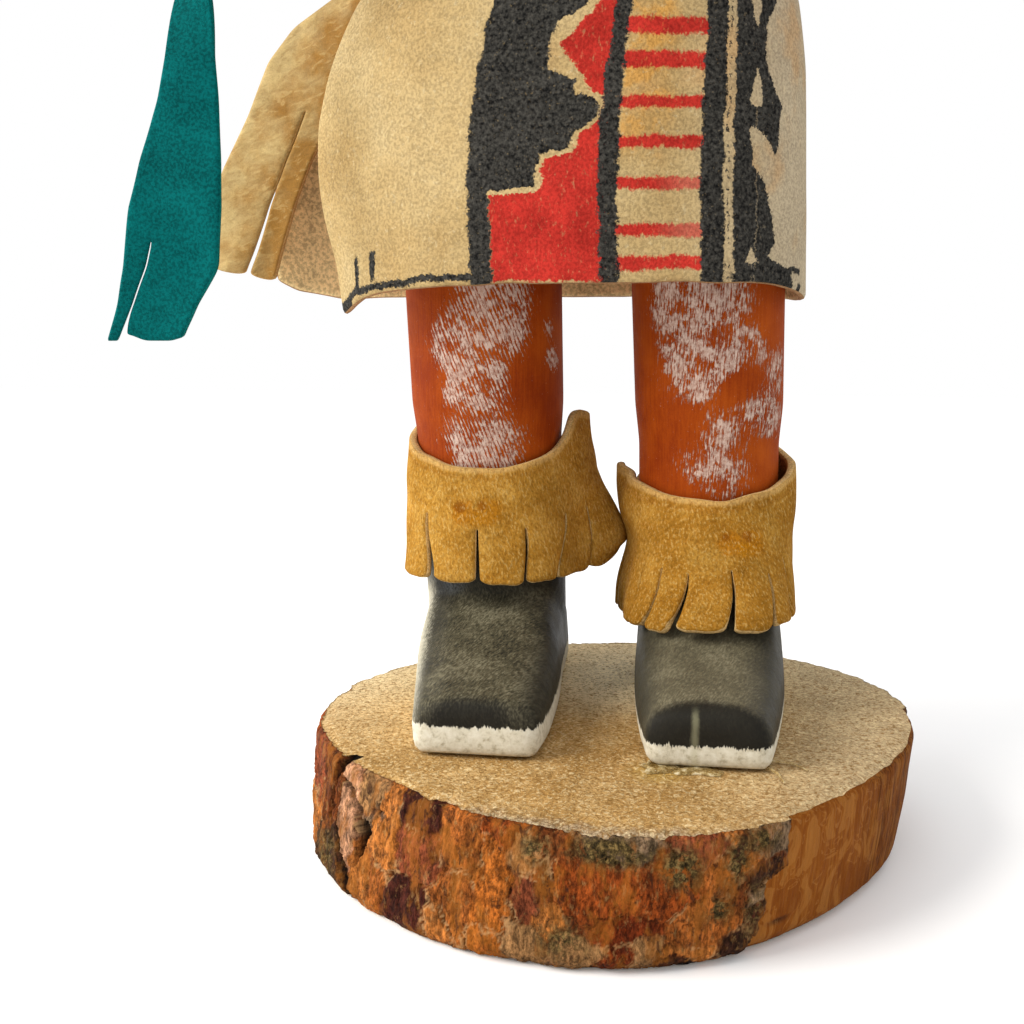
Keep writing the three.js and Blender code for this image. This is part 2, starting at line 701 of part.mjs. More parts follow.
add(doll, "right_armband", armband(-1), BROWN, 0.85);
add(doll, "left_armband", armband(1), BROWN, 0.85);

export default doll;
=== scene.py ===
"""A carved kachina doll in real leather on a slice of log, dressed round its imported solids.

Shapes are worked out in millimetres. The figure's heights count from the slice's top and its
x and y from the middle of its legs; stand() then puts it on the slice."""

import math

import bmesh
import bpy
import numpy as np
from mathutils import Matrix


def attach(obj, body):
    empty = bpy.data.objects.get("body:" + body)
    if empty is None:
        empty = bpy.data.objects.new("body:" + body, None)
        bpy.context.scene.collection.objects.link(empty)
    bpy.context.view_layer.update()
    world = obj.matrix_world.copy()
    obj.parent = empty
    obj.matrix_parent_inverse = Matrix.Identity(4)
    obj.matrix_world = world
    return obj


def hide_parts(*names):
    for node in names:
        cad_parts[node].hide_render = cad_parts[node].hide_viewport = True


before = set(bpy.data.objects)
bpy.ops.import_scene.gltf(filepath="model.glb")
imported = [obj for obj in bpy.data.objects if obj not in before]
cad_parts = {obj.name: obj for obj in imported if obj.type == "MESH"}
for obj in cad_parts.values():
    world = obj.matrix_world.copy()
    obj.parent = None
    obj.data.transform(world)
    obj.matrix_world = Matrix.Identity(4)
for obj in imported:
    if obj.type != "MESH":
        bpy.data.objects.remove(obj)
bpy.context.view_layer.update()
scene = bpy.context.scene

# Sizes, in millimetres. The figure's heights count from the slice's top,
# its x and y from the middle of its legs.
BASE_H = 18.0
BASE_R = 43.0
FIGURE_X = -3.6
FIGURE_Y = 20.6
LEAN = 0.035
LEG_APART = 18.0
ANKLE_APART = 17.7
ANKLE_IN = 0.9
RIGHT_LEG_R = 12.8
LEFT_LEG_R = 12.1
KNEE_Z = 44.0
SOLE_H = 4.5
BOOT_TOP_Z = 26.0
LEG_TOP_Z = 94.0
HIP_Z = 78.0
WAIST_Z = 121.0
NECK_TOP_Z = 179.0
NECK_R = 10.3
SUEDE = 1.4
CUFF_SUEDE = 1.5
SASH_SUEDE = 1.2
WORN_GAP = 0.5
GLUE_GAP = 0.3
HEM_Z = 64.0
KILT_TOP_Z = 125.0
FREE_Z = 96.0
CLING_Z = 115.0
SASH_LOW_Z = 66.5
SASH_TOP_Z = 124.0
STREAMER_LOW_Z = 56.5
SHOULDER_Z = 156.0
ARM_OUT = 34.8
WRIST_R = 5.4
HEAD_R = 18.0
HEAD_H = 37.0
HEAD_BASE_Z = NECK_TOP_Z + GLUE_GAP
RUFF_H = 7.1
BELT_H = 7.5
BELT_T = 1.5
BODY_POWER = 2.15
BODY = np.array([
    [HIP_Z, 23, 13], [HIP_Z + 2.5, 27.5, 17], [86, 30.4, 19], [96, 31, 19.6], [106, 29.4, 18.6],
    [114, 27, 17], [WAIST_Z, 25.4, 16], [132, 25.6, 16], [143, 27.4, 17], [153, 28.6, 17.4],
    [161, 27.6, 16.4], [166, 23.5, 14], [169, 14.5, 11.6], [171, NECK_R, NECK_R],
    [NECK_TOP_Z, NECK_R - 0.5, NECK_R - 0.5],
])
HEM_PLAN = np.array([
    [-39.4, -8.4], [-34.4, -14], [-25, -19.2], [-11, -21.9], [7, -21.9], [21, -18.6],
    [30, -10], [32.1, 1], [28.6, 13], [17, 20.2], [0, 22.2], [-17, 22], [-32, 20],
    [-45, 16], [-56.6, 10.4],
])
HEM_LINE = np.array([
    [0, -3.4], [0.05, -2.2], [0.1, -0.6], [0.18, 0.4], [0.3, 0.9], [0.4, 0.6], [0.46, -1.2],
    [0.52, -1.7], [0.6, -0.8], [0.72, -1], [0.85, -1], [0.93, -1.4], [0.98, 0], [1, 2],
])
KILT_FROM = math.radians(-164)
KILT_TO = math.radians(168)
TOP_WAVES = [(1, 0.2, 1.2), (2, 1.7, 1.2), (3, -1, 1.3), (4, 0.4, 0.4)]
FOOT_WAVES = [(1, -1.8, -0.5), (2, -1, 0.8), (3, 0.9, -1.2)]


def smooth(t):
    t = np.clip(t, 0, 1)
    return t * t * (3 - 2 * t)


def lerp(a, b, t):
    return a + (b - a) * t


def bump(t, middle, half):
    """1 at the middle, falling smoothly to 0 at half away"""
    return smooth(1 - np.abs(t - middle) / half)


def xyz(x, y, z):
    return np.stack(np.broadcast_arrays(x, y, z), -1).astype(float)


def unit(v):
    return v / np.maximum(1e-12, np.linalg.norm(v, axis=-1, keepdims=True))


def stand(points):
    """Figure coordinates to the slice: shifted and leaning"""
    points = np.asarray(points, float)
    x = points[..., 0] + FIGURE_X - LEAN * points[..., 2]
    return xyz(x, points[..., 1] + FIGURE_Y, points[..., 2] + BASE_H)


def lumps(points, size, seed=0):
    """Smooth noise from -1 to 1, in lumps of about the given size"""
    p = np.asarray(points, float) / size + 17.31 * (seed + 1)
    cell = np.floor(p).astype(np.int64)
    t = p - cell
    t = t * t * (3 - 2 * t)
    total = 0
    for corner in range(8):
        step = np.array([corner & 1, (corner >> 1) & 1, (corner >> 2) & 1])
        key = (cell + step) @ np.array([73856093, 19349663, 83492791])
        key = ((key ^ (key >> 13)) * 1274126177) & 0x7FFFFFFF
        value = ((key ^ (key >> 15)) & 0xFFFF) / 32767.5 - 1
        total = total + np.where(step == 1, t, 1 - t).prod(-1) * value
    return total


def rough(points, size, seed=0, octaves=3, fade=0.5):
    """Lumps with smaller lumps on them"""
    return sum(lumps(points, size * 0.5 ** k, seed + 7 * k) * fade ** k for k in range(octaves))


def curve_through(points, t):
    """Smooth line through points, evenly spaced in t from 0 to 1"""
    points = np.asarray(points, float)
    ends = np.vstack([2 * points[0] - points[1], points, 2 * points[-1] - points[-2]])
    count = len(points) - 1
    place = np.clip(t, 0, 1) * count
    k = np.minimum(place.astype(int), count - 1)
    w = (place - k)[..., None]
    p0, p1, p2, p3 = ends[k], ends[k + 1], ends[k + 2], ends[k + 3]
    d0, d1, d2 = [np.maximum(1e-4, np.linalg.norm(b - a, axis=-1, keepdims=True)) ** 0.5
                  for a, b in ((p0, p1), (p1, p2), (p2, p3))]
    t1 = ((p1 - p0) / d0 - (p2 - p0) / (d0 + d1) + (p2 - p1) / d1) * d1
    t2 = ((p2 - p1) / d1 - (p3 - p1) / (d1 + d2) + (p3 - p2) / d2) * d1
    return (p1 + t1 * w + (3 * (p2 - p1) - 2 * t1 - t2) * w ** 2
            + (2 * (p1 - p2) + t1 + t2) * w ** 3)


def round_trunk(angle, z, out):
    """Point at an angle round the trunk, some way outside it"""
    c, s = np.cos(angle), np.sin(angle)
    wide = np.interp(z, BODY[:, 0], BODY[:, 1]) + out
    deep = np.interp(z, BODY[:, 0], BODY[:, 2]) + out
    power = 2 / BODY_POWER
    return xyz(wide * np.sign(c) * np.abs(c) ** power, deep * np.sign(s) * np.abs(s) ** power, z)


def kilt_surface(u, v):
    """Middle of the kilt's leather: u from the front edge to the back edge, v from hem to top"""
    z = lerp(HEM_Z, KILT_TOP_Z, v)
    z = z + np.clip((FREE_Z - z) / (FREE_Z - HEM_Z), 0, 1) * np.interp(u, HEM_LINE[:, 0], HEM_LINE[:, 1])
    worn = round_trunk(lerp(KILT_FROM, KILT_TO, u), np.maximum(z, FREE_Z), WORN_GAP + SUEDE / 2)
    hem = curve_through(HEM_PLAN, u)
    t = 1 - (1 - np.clip((CLING_Z - z) / (CLING_Z - HEM_Z - 10), 0, 1)) ** 2
    return xyz(lerp(worn[..., 0], hem[..., 0], t), lerp(worn[..., 1], hem[..., 1], t), z)


def wave(waves, a):
    return sum(c * np.cos(n * a) + s * np.sin(n * a) for n, c, s in waves)


def log_radius(a, z):
    swell = np.interp(z, [0, 1.6, 9, 16.4, BASE_H], [-0.9, 0, 0.3, 0.2, -0.1])
    return BASE_R + wave(TOP_WAVES, a) + (1 - z / BASE_H) * wave(FOOT_WAVES, a) + swell


def cuff_surface(cuff, u, v):
    """Middle of an ankle cuff's leather: u along the strip, v from fringe to rim"""
    side, leg_r, rim_z, fringe_z, start, lift, spread = cuff
    a = math.radians(start) + math.radians(376) * u * side
    lap = smooth((0.14 - u) / 0.14) * (CUFF_SUEDE + 0.5) * 1.15
    front = -np.sin(a)
    flare = np.clip(1 - v, 0, 1) ** 1.5
    open_r = leg_r - ANKLE_IN + WORN_GAP + CUFF_SUEDE / 2 + lap + 0.7 * smooth((v - 0.5) / 0.5)
    wide = open_r + flare
    deep = open_r + flare * np.where(front > 0, spread, 1)
    power = 2 + flare * 0.8
    r = ((np.abs(np.cos(a)) / wide) ** power + (np.abs(front) / deep) ** power) ** (-1 / power)
    rim = rim_z - 4.4 * front + lift * smooth((0.18 - u) / 0.18)
    low = fringe_z + 0.8 * np.maximum(0, front)
    return xyz(side * ANKLE_APART + r * np.cos(a), r * np.sin(a), lerp(low, rim, v))


RIGHT_CUFF = (-1, RIGHT_LEG_R, 41, 19, 20, 2, 3)
LEFT_CUFF = (1, LEFT_LEG_R, 36.6, 12.3, 160, -3, 10)


# Meshes

def strips(rows, columns, around=False):
    """Quads between rows of points; around joins the last column to the first"""
    r, c = np.meshgrid(np.arange(rows - 1), np.arange(columns if around else columns - 1),
                       indexing="ij")
    a = r * columns + c
    b = r * columns + (c + 1) % columns
    return np.stack([a, b, b + columns, a + columns], -1)


def piece(name, points, faces, finishes, face_finish=None, uv=None):
    """An object from points in millimetres; uv has one pair for each point"""
    mesh = bpy.data.meshes.new(name)
    mesh.from_pydata((np.asarray(points).reshape(-1, 3) * 0.001).tolist(), [],
                     [tuple(f) for f in faces])
    for finish in finishes:
        mesh.materials.append(finish)
    mesh.polygons.foreach_set("use_smooth", [True] * len(mesh.polygons))
    if face_finish is not None:
        mesh.polygons.foreach_set("material_index", np.asarray(face_finish, np.int32))
    if uv is not None:
        layer = mesh.uv_layers.new(name="cut")
        corner = np.empty(len(mesh.loops), np.int32)
        mesh.loops.foreach_get("vertex_index", corner)
        layer.data.foreach_set("uv", np.asarray(uv, np.float32).reshape(-1, 2)[corner].ravel())
    mesh.update()
    obj = bpy.data.objects.new(name, mesh)
    scene.collection.objects.link(obj)
    return obj


def loft(name, rings, finishes, face_finish=None):
    """A closed piece through rings of points, counter-clockwise seen from the last ring's end"""
    rings = np.asarray(rings, float)
    rows, columns = rings.shape[:2]
    faces = strips(rows, columns, around=True).reshape(-1, 4).tolist()
    low, high = rows * columns, rows * columns + 1
    top = (rows - 1) * columns
    for i in range(columns):
        j = (i + 1) % columns
        faces.append((low, j, i))
        faces.append((high, top + i, top + j))
    points = np.vstack([rings.reshape(-1, 3), rings[0].mean(0), rings[-1].mean(0)])
    return piece(name, points, faces, finishes, face_finish)


def paint_points(obj, name, values):
    """Up to four values for each point, for the finish to read"""
    values = np.column_stack([values, np.ones((len(values), 4 - values.shape[1]))])
    layer = obj.data.attributes.new(name, "FLOAT_COLOR", "POINT")
    layer.data.foreach_set("color", values.astype(np.float32).ravel())


def settle(obj):
    """Makes what the modifiers give the piece's plain mesh"""
    result = bpy.data.meshes.new_from_object(
        obj.evaluated_get(bpy.context.evaluated_depsgraph_get()))
    obj.modifiers.clear()
    obj.data = result
    result.name = obj.name
    return obj


def leather(name, grids, thickness, finishes, smoothing=1):
    """A cut sheet from grids of (points, uv), welded where they meet: grain side, flesh side
    and cut edge have a finish each"""
    points, uvs, faces = [], [], []
    start = 0
    for grid, uv in grids:
        rows, columns = grid.shape[:2]
        faces += (strips(rows, columns).reshape(-1, 4) + start).tolist()
        points.append(grid.reshape(-1, 3))
        uvs.append(uv.reshape(-1, 2))
        start += rows * columns
    obj = piece(name, np.vstack(points), faces, finishes, uv=np.vstack(uvs))
    welded = bmesh.new()
    welded.from_mesh(obj.data)
    bmesh.ops.remove_doubles(welded, verts=welded.verts, dist=4e-6)
    welded.to_mesh(obj.data)
    welded.free()
    wall = obj.modifiers.new("thickness", "SOLIDIFY")
    wall.thickness = thickness * 0.001
    wall.offset = 0
    wall.use_even_offset = True
    wall.material_offset = 1
    wall.material_offset_rim = 2
    round_off = obj.modifiers.new("soft edges", "SUBSURF")
    round_off.levels = round_off.render_levels = smoothing
    return settle(obj)


def limb_rings(stations, sides, between=5):
    """Rings along a limb through stations (x, y, z, radius), with more between them"""
    stations = np.asarray(stations, float)
    t = np.linspace(0, 1, (len(stations) - 1) * between + 1)
    line = curve_through(stations, t)
    way = unit(np.gradient(line[:, :3], axis=0))
    axes = np.eye(3)
    axis = axes[np.argmin(np.abs(axes @ (line[-1, :3] - line[0, :3])))]
    side = unit(axis - (way @ axis)[:, None] * way)
    other = np.cross(way, side)
    a = np.linspace(0, 2 * math.pi, sides, endpoint=False)
    radius = line[:, 3][:, None, None]
    return (line[:, None, :3] + radius * (np.cos(a)[None, :, None] * side[:, None, :]
                                          + np.sin(a)[None, :, None] * other[:, None, :]))


def oval_ring(x, y, z, wide, deep, sides, power=2.0):
    a = np.linspace(0, 2 * math.pi, sides, endpoint=False)
    c, s = np.cos(a), np.sin(a)
    return xyz(x + wide * np.sign(c) * np.abs(c) ** (2 / power),
               y + deep * np.sign(s) * np.abs(s) ** (2 / power), z)


def smooth_rings(table, ring, steps):
    """Rings through a table's rows, with smooth rows between them"""
    rows = curve_through(np.asarray(table, float), np.linspace(0, 1, steps))
    return np.array([ring(row) for row in rows])


# Finishes

class Finish:
    """A material or node group being made: adds nodes and joins them"""

    def __init__(self, tree):
        self.tree = tree

    def put(self, socket, value):
        if isinstance(value, bpy.types.NodeSocket):
            self.tree.links.new(value, socket)
        elif isinstance(value, (tuple, list)) and socket.type == "RGBA":
            socket.default_value = (*value[:3], 1)
        else:
            socket.default_value = value

    def add(self, kind, inputs=None, **settings):
        node = self.tree.nodes.new("ShaderNode" + kind)
        for key, value in settings.items():
            setattr(node, key, value)
        for key, value in (inputs or {}).items():
            self.put(node.inputs[key], value)
        return node

    def add_end(self, side):
        return self.tree.nodes.new("NodeGroup" + side)

    def math(self, operation, *values, clamp=False):
        node = self.add("Math", operation=operation, use_clamp=clamp)
        for k, value in enumerate(values):
            self.put(node.inputs[k], value)
        return node.outputs[0]

    def mix(self, share, a, b, blend="MIX"):
        node = self.add("Mix", data_type="RGBA", blend_type=blend)
        for k, value in ((0, share), (6, a), (7, b)):
            self.put(node.inputs[k], value)
        return node.outputs[2]

    def step(self, value, low, high, start=0.0, end=1.0):
        """start below low, end above high, and a smooth step between"""
        node = self.add("MapRange", interpolation_type="SMOOTHSTEP")
        for k, x in enumerate((value, low, high, start, end)):
            self.put(node.inputs[k], x)
        return node.outputs[0]

    def band(self, value, low, high, soft):
        """1 between low and high, with soft ends"""
        above = self.step(self.math("SUBTRACT", value, low), -soft, soft)
        below = self.step(self.math("SUBTRACT", value, high), -soft, soft, 1, 0)
        return self.math("MULTIPLY", above, below)

    def any_of(self, *masks):
        result = masks[0]
        for mask in masks[1:]:
            result = self.math("MAXIMUM", result, mask)
        return result

    def all_of(self, *masks):
        result = masks[0]
        for mask in masks[1:]:
            result = self.math("MULTIPLY", result, mask)
        return result

    def grain(self, place, size, detail=3, roughness=0.55, distortion=0.0):
        """Noise from about 0.25 to 0.75, in grains of a size in millimetres"""
        return self.add("TexNoise", {"Vector": place, "Scale": 1 / size, "Detail": detail,
                                     "Roughness": roughness, "Distortion": distortion}).outputs[0]

    def stretched(self, place, across_x, across_y, across_z, turn=(0, 0, 0)):
        """Place divided by a size for each direction, after a turn"""
        turned = self.add("Mapping", {"Vector": place, "Rotation": turn}).outputs[0]
        return self.add("VectorMath", {0: turned, 1: (1 / across_x, 1 / across_y, 1 / across_z)},
                        operation="MULTIPLY").outputs[0]

    def ramp(self, value, *stops):
        """Colour by value, from stops of (value, colour)"""
        node = self.add("ValToRGB", {"Fac": value})
        band = node.color_ramp.elements
        while len(band) < len(stops):
            band.new(1.0)
        for mark, (at, colour) in zip(band, stops):
            mark.position = at
            mark.color = (*colour, 1)
        return node.outputs[0]

    def curve(self, value, points):
        """Value along a line of straight parts through points"""
        node = self.add("FloatCurve", {"Value": value})
        marks = node.mapping.curves[0].points
        while len(marks) < len(points):
            marks.new(0.5, 0.5)
        for mark, (x, y) in zip(marks, sorted(points)):
            mark.location = (x, y)
            mark.handle_type = "VECTOR"
        node.mapping.update()
        return node.outputs[0]

    def place(self):
        """Object coordinates in millimetres"""
        where = self.add("TexCoord").outputs["Object"]
        return self.add("VectorMath", {0: where, "Scale": 1000.0}, operation="SCALE").outputs[0]

    def parts(self, vector):
        return self.add("SeparateXYZ", {0: vector}).outputs

    def spot(self, place, centre, size):
        """1 at a place, falling to 0 at a distance in millimetres"""
        away = self.add("VectorMath", {0: place, 1: centre}, operation="DISTANCE").outputs["Value"]
        return self.step(away, 0, size, 1, 0)

    def group(self, tree, **inputs):
        node = self.add("Group", node_tree=tree)
        for key, value in inputs.items():
            self.put(node.inputs[key.replace("_", " ")], value)
        return node.outputs

    def bump(self, height, depth, normal=None, strength=1.0):
        """Normal from a height of 0 to 1 that is so many millimetres deep"""
        inputs = {"Height": height, "Distance": depth * 0.001, "Strength": strength}
        if normal is not None:
            inputs["Normal"] = normal
        return self.add("Bump", inputs).outputs[0]


def new_finish(name, **plain):
    """A material with its shader; plain sets the shader's even values"""
    material = bpy.data.materials.new(name)
    material.use_nodes = True
    material.node_tree.nodes.clear()
    finish = Finish(material.node_tree)
    shader = finish.add("BsdfPrincipled")
    for key, value in plain.items():
        shader.inputs[key.replace("_", " ")].default_value = value
    finish.add("OutputMaterial", {"Surface": shader.outputs[0]})
    return material, finish, shader


def new_group(name, inputs, outputs):
    tree = bpy.data.node_groups.new(name, "ShaderNodeTree")
    for label, kind, value in inputs:
        socket = tree.interface.new_socket(label, in_out="INPUT", socket_type="NodeSocket" + kind)
        socket.default_value = value
    for label, kind in outputs:
        tree.interface.new_socket(label, in_out="OUTPUT", socket_type="NodeSocket" + kind)
    finish = Finish(tree)
    return tree, finish, finish.add_end("Input").outputs, finish.add_end("Output").inputs



def suede_nap():
    """Brushed nap: fine light and dark flecks in soft clouds"""
    tree, finish, given, out = new_group(
        "suede nap",
        [("Place", "Vector", (0, 0, 0)), ("Colour", "Color", (1, 1, 1, 1)),
         ("Fleck", "Float", 0.4), ("Depth", "Float", 0.3), ("Clouds", "Float", 0.2)],
        [("Colour", "Color"), ("Height", "Float")])
    size = finish.math("DIVIDE", 1.0, given["Fleck"])
    fine = finish.add("TexNoise", {"Vector": given["Place"], "Scale": size, "Detail": 4,
                                   "Roughness": 0.62}).outputs[0]
    broad = finish.add("TexNoise", {"Vector": given["Place"],
                                    "Scale": finish.math("MULTIPLY", size, 0.06), "Detail": 3,
                                    "Roughness": 0.6}).outputs[0]
    fleck = finish.step(fine, 0.37, 0.61)
    cloud = finish.step(broad, 0.3, 0.7)
    dark = finish.math("MULTIPLY", finish.math("SUBTRACT", 1.0, fleck), given["Depth"])
    dull = finish.math("MULTIPLY", finish.math("SUBTRACT", 1.0, cloud), given["Clouds"])
    shade = finish.math("SUBTRACT", finish.math("SUBTRACT", 1.12, dark), dull)
    finish.put(out["Colour"], finish.mix(1.0, given["Colour"], shade, "MULTIPLY"))
    finish.put(out["Height"], fine)
    return tree


def brush_marks():
    """Marks of a dry brush: broken streaks along Z of a turned and stretched place, with the
    even lines of a comb in them"""
    tree, finish, given, out = new_group(
        "brush marks",
        [("Place", "Vector", (0, 0, 0)), ("Patches", "Float", 1.0), ("Comb", "Float", 0.1)],
        [("Mask", "Float"), ("Height", "Float")])
    streaks = finish.add("TexNoise", {"Vector": given["Place"], "Scale": 1.0, "Detail": 4,
                                      "Roughness": 0.7}).outputs[0]
    across = finish.add("SeparateXYZ", {0: given["Place"]}).outputs[0]
    sway = finish.math("MULTIPLY", finish.add(
        "TexNoise", {"Vector": given["Place"], "Scale": 0.12, "Detail": 1}).outputs[0], 6.0)
    teeth = finish.math("SINE", finish.math("ADD", finish.math("MULTIPLY", across, 2.4), sway))
    level = finish.math("SUBTRACT", 0.80, given["Patches"])
    level = finish.math("SUBTRACT", level, finish.math("MULTIPLY", teeth, given["Comb"]))
    over = finish.math("SUBTRACT", streaks, level)
    finish.put(out["Mask"], finish.step(over, -0.03, 0.08))
    finish.put(out["Height"], streaks)
    return tree


NAP = suede_nap()
BRUSH = brush_marks()


def suede(name, colour, fleck=0.35, depth=0.45, clouds=0.25, relief=0.14):
    material, finish, shader = new_finish(name, Roughness=0.95, Specular_IOR_Level=0.04)
    place = finish.place()
    nap = finish.group(NAP, Place=place, Colour=(*colour, 1), Fleck=fleck, Depth=depth,
                       Clouds=clouds)
    finish.put(shader.inputs["Base Color"], nap["Colour"])
    finish.put(shader.inputs["Normal"], finish.bump(nap["Height"], relief))
    return material


# The kilt's painted design, in shares of its leather: across from the front edge, up from the hem
BARS = [(0.1885, 0.2042), (0.2666, 0.2776), (0.3318, 0.3490)]
LAST_BAR = (0.3568, 0.3728)
DESIGN_MIDDLE = 0.545
RUNGS = [(0.031, 0.063), (0.108, 0.136), (0.215, 0.243), (0.309, 0.337), (0.400, 0.427),
         (0.490, 0.526)]
CLOUD_EDGE = [(0, 0.2042), (0.213, 0.2042), (0.219, 0.2105), (0.226, 0.232), (0.240, 0.2332),
              (0.302, 0.2345), (0.309, 0.2494), (0.323, 0.2507), (0.351, 0.2532),
              (0.365, 0.2582), (0.379, 0.2652), (0.400, 0.2657), (0.427, 0.2615),
              (0.432, 0.2512), (0.466, 0.2500), (0.476, 0.2440), (0.486, 0.2345), (0.56, 0.2320)]
FIELD_EDGE = [(0, 0.2042), (0.19, 0.2042), (0.207, 0.2050), (0.211, 0.2350), (0.290, 0.2375),
              (0.300, 0.2525), (0.345, 0.2560), (0.359, 0.2610), (0.372, 0.2670),
              (0.43, 0.2670), (0.44, 0.2600), (0.483, 0.2519), (0.56, 0.2350)]
TEETH = [(0, 0.4245), (0.031, 0.4209), (0.050, 0.4073), (0.058, 0.3930), (0.063, 0.3913),
         (0.107, 0.3968), (0.164, 0.3933), (0.239, 0.3853), (0.277, 0.3738), (0.300, 0.3728),
         (0.305, 0.3960), (0.312, 0.3985), (0.371, 0.4025), (0.396, 0.4038), (0.415, 0.4063),
         (0.459, 0.3960), (0.50, 0.3880), (0.56, 0.3850)]


NOTCH = [(0, 0.36), (0.298, 0.36), (0.302, 0.3960), (0.320, 0.3935), (0.345, 0.3860),
         (0.362, 0.3765), (0.366, 0.36), (0.56, 0.36)]
WINDOWS = [(0.3775, [(0, 0), (0.410, 0), (0.414, 0.0055), (0.424, 0.0066), (0.445, 0.0052),
                     (0.470, 0.0030), (0.494, 0.0008), (0.498, 0)]),
           (0.3738, [(0, 0), (0.046, 0), (0.050, 0.0062), (0.082, 0.0004), (0.084, 0)])]
TICKS = [(0.0650, 0.028, 0.102), (0.0930, 0.034, 0.104), (0.437, -0.01, 0.022)]


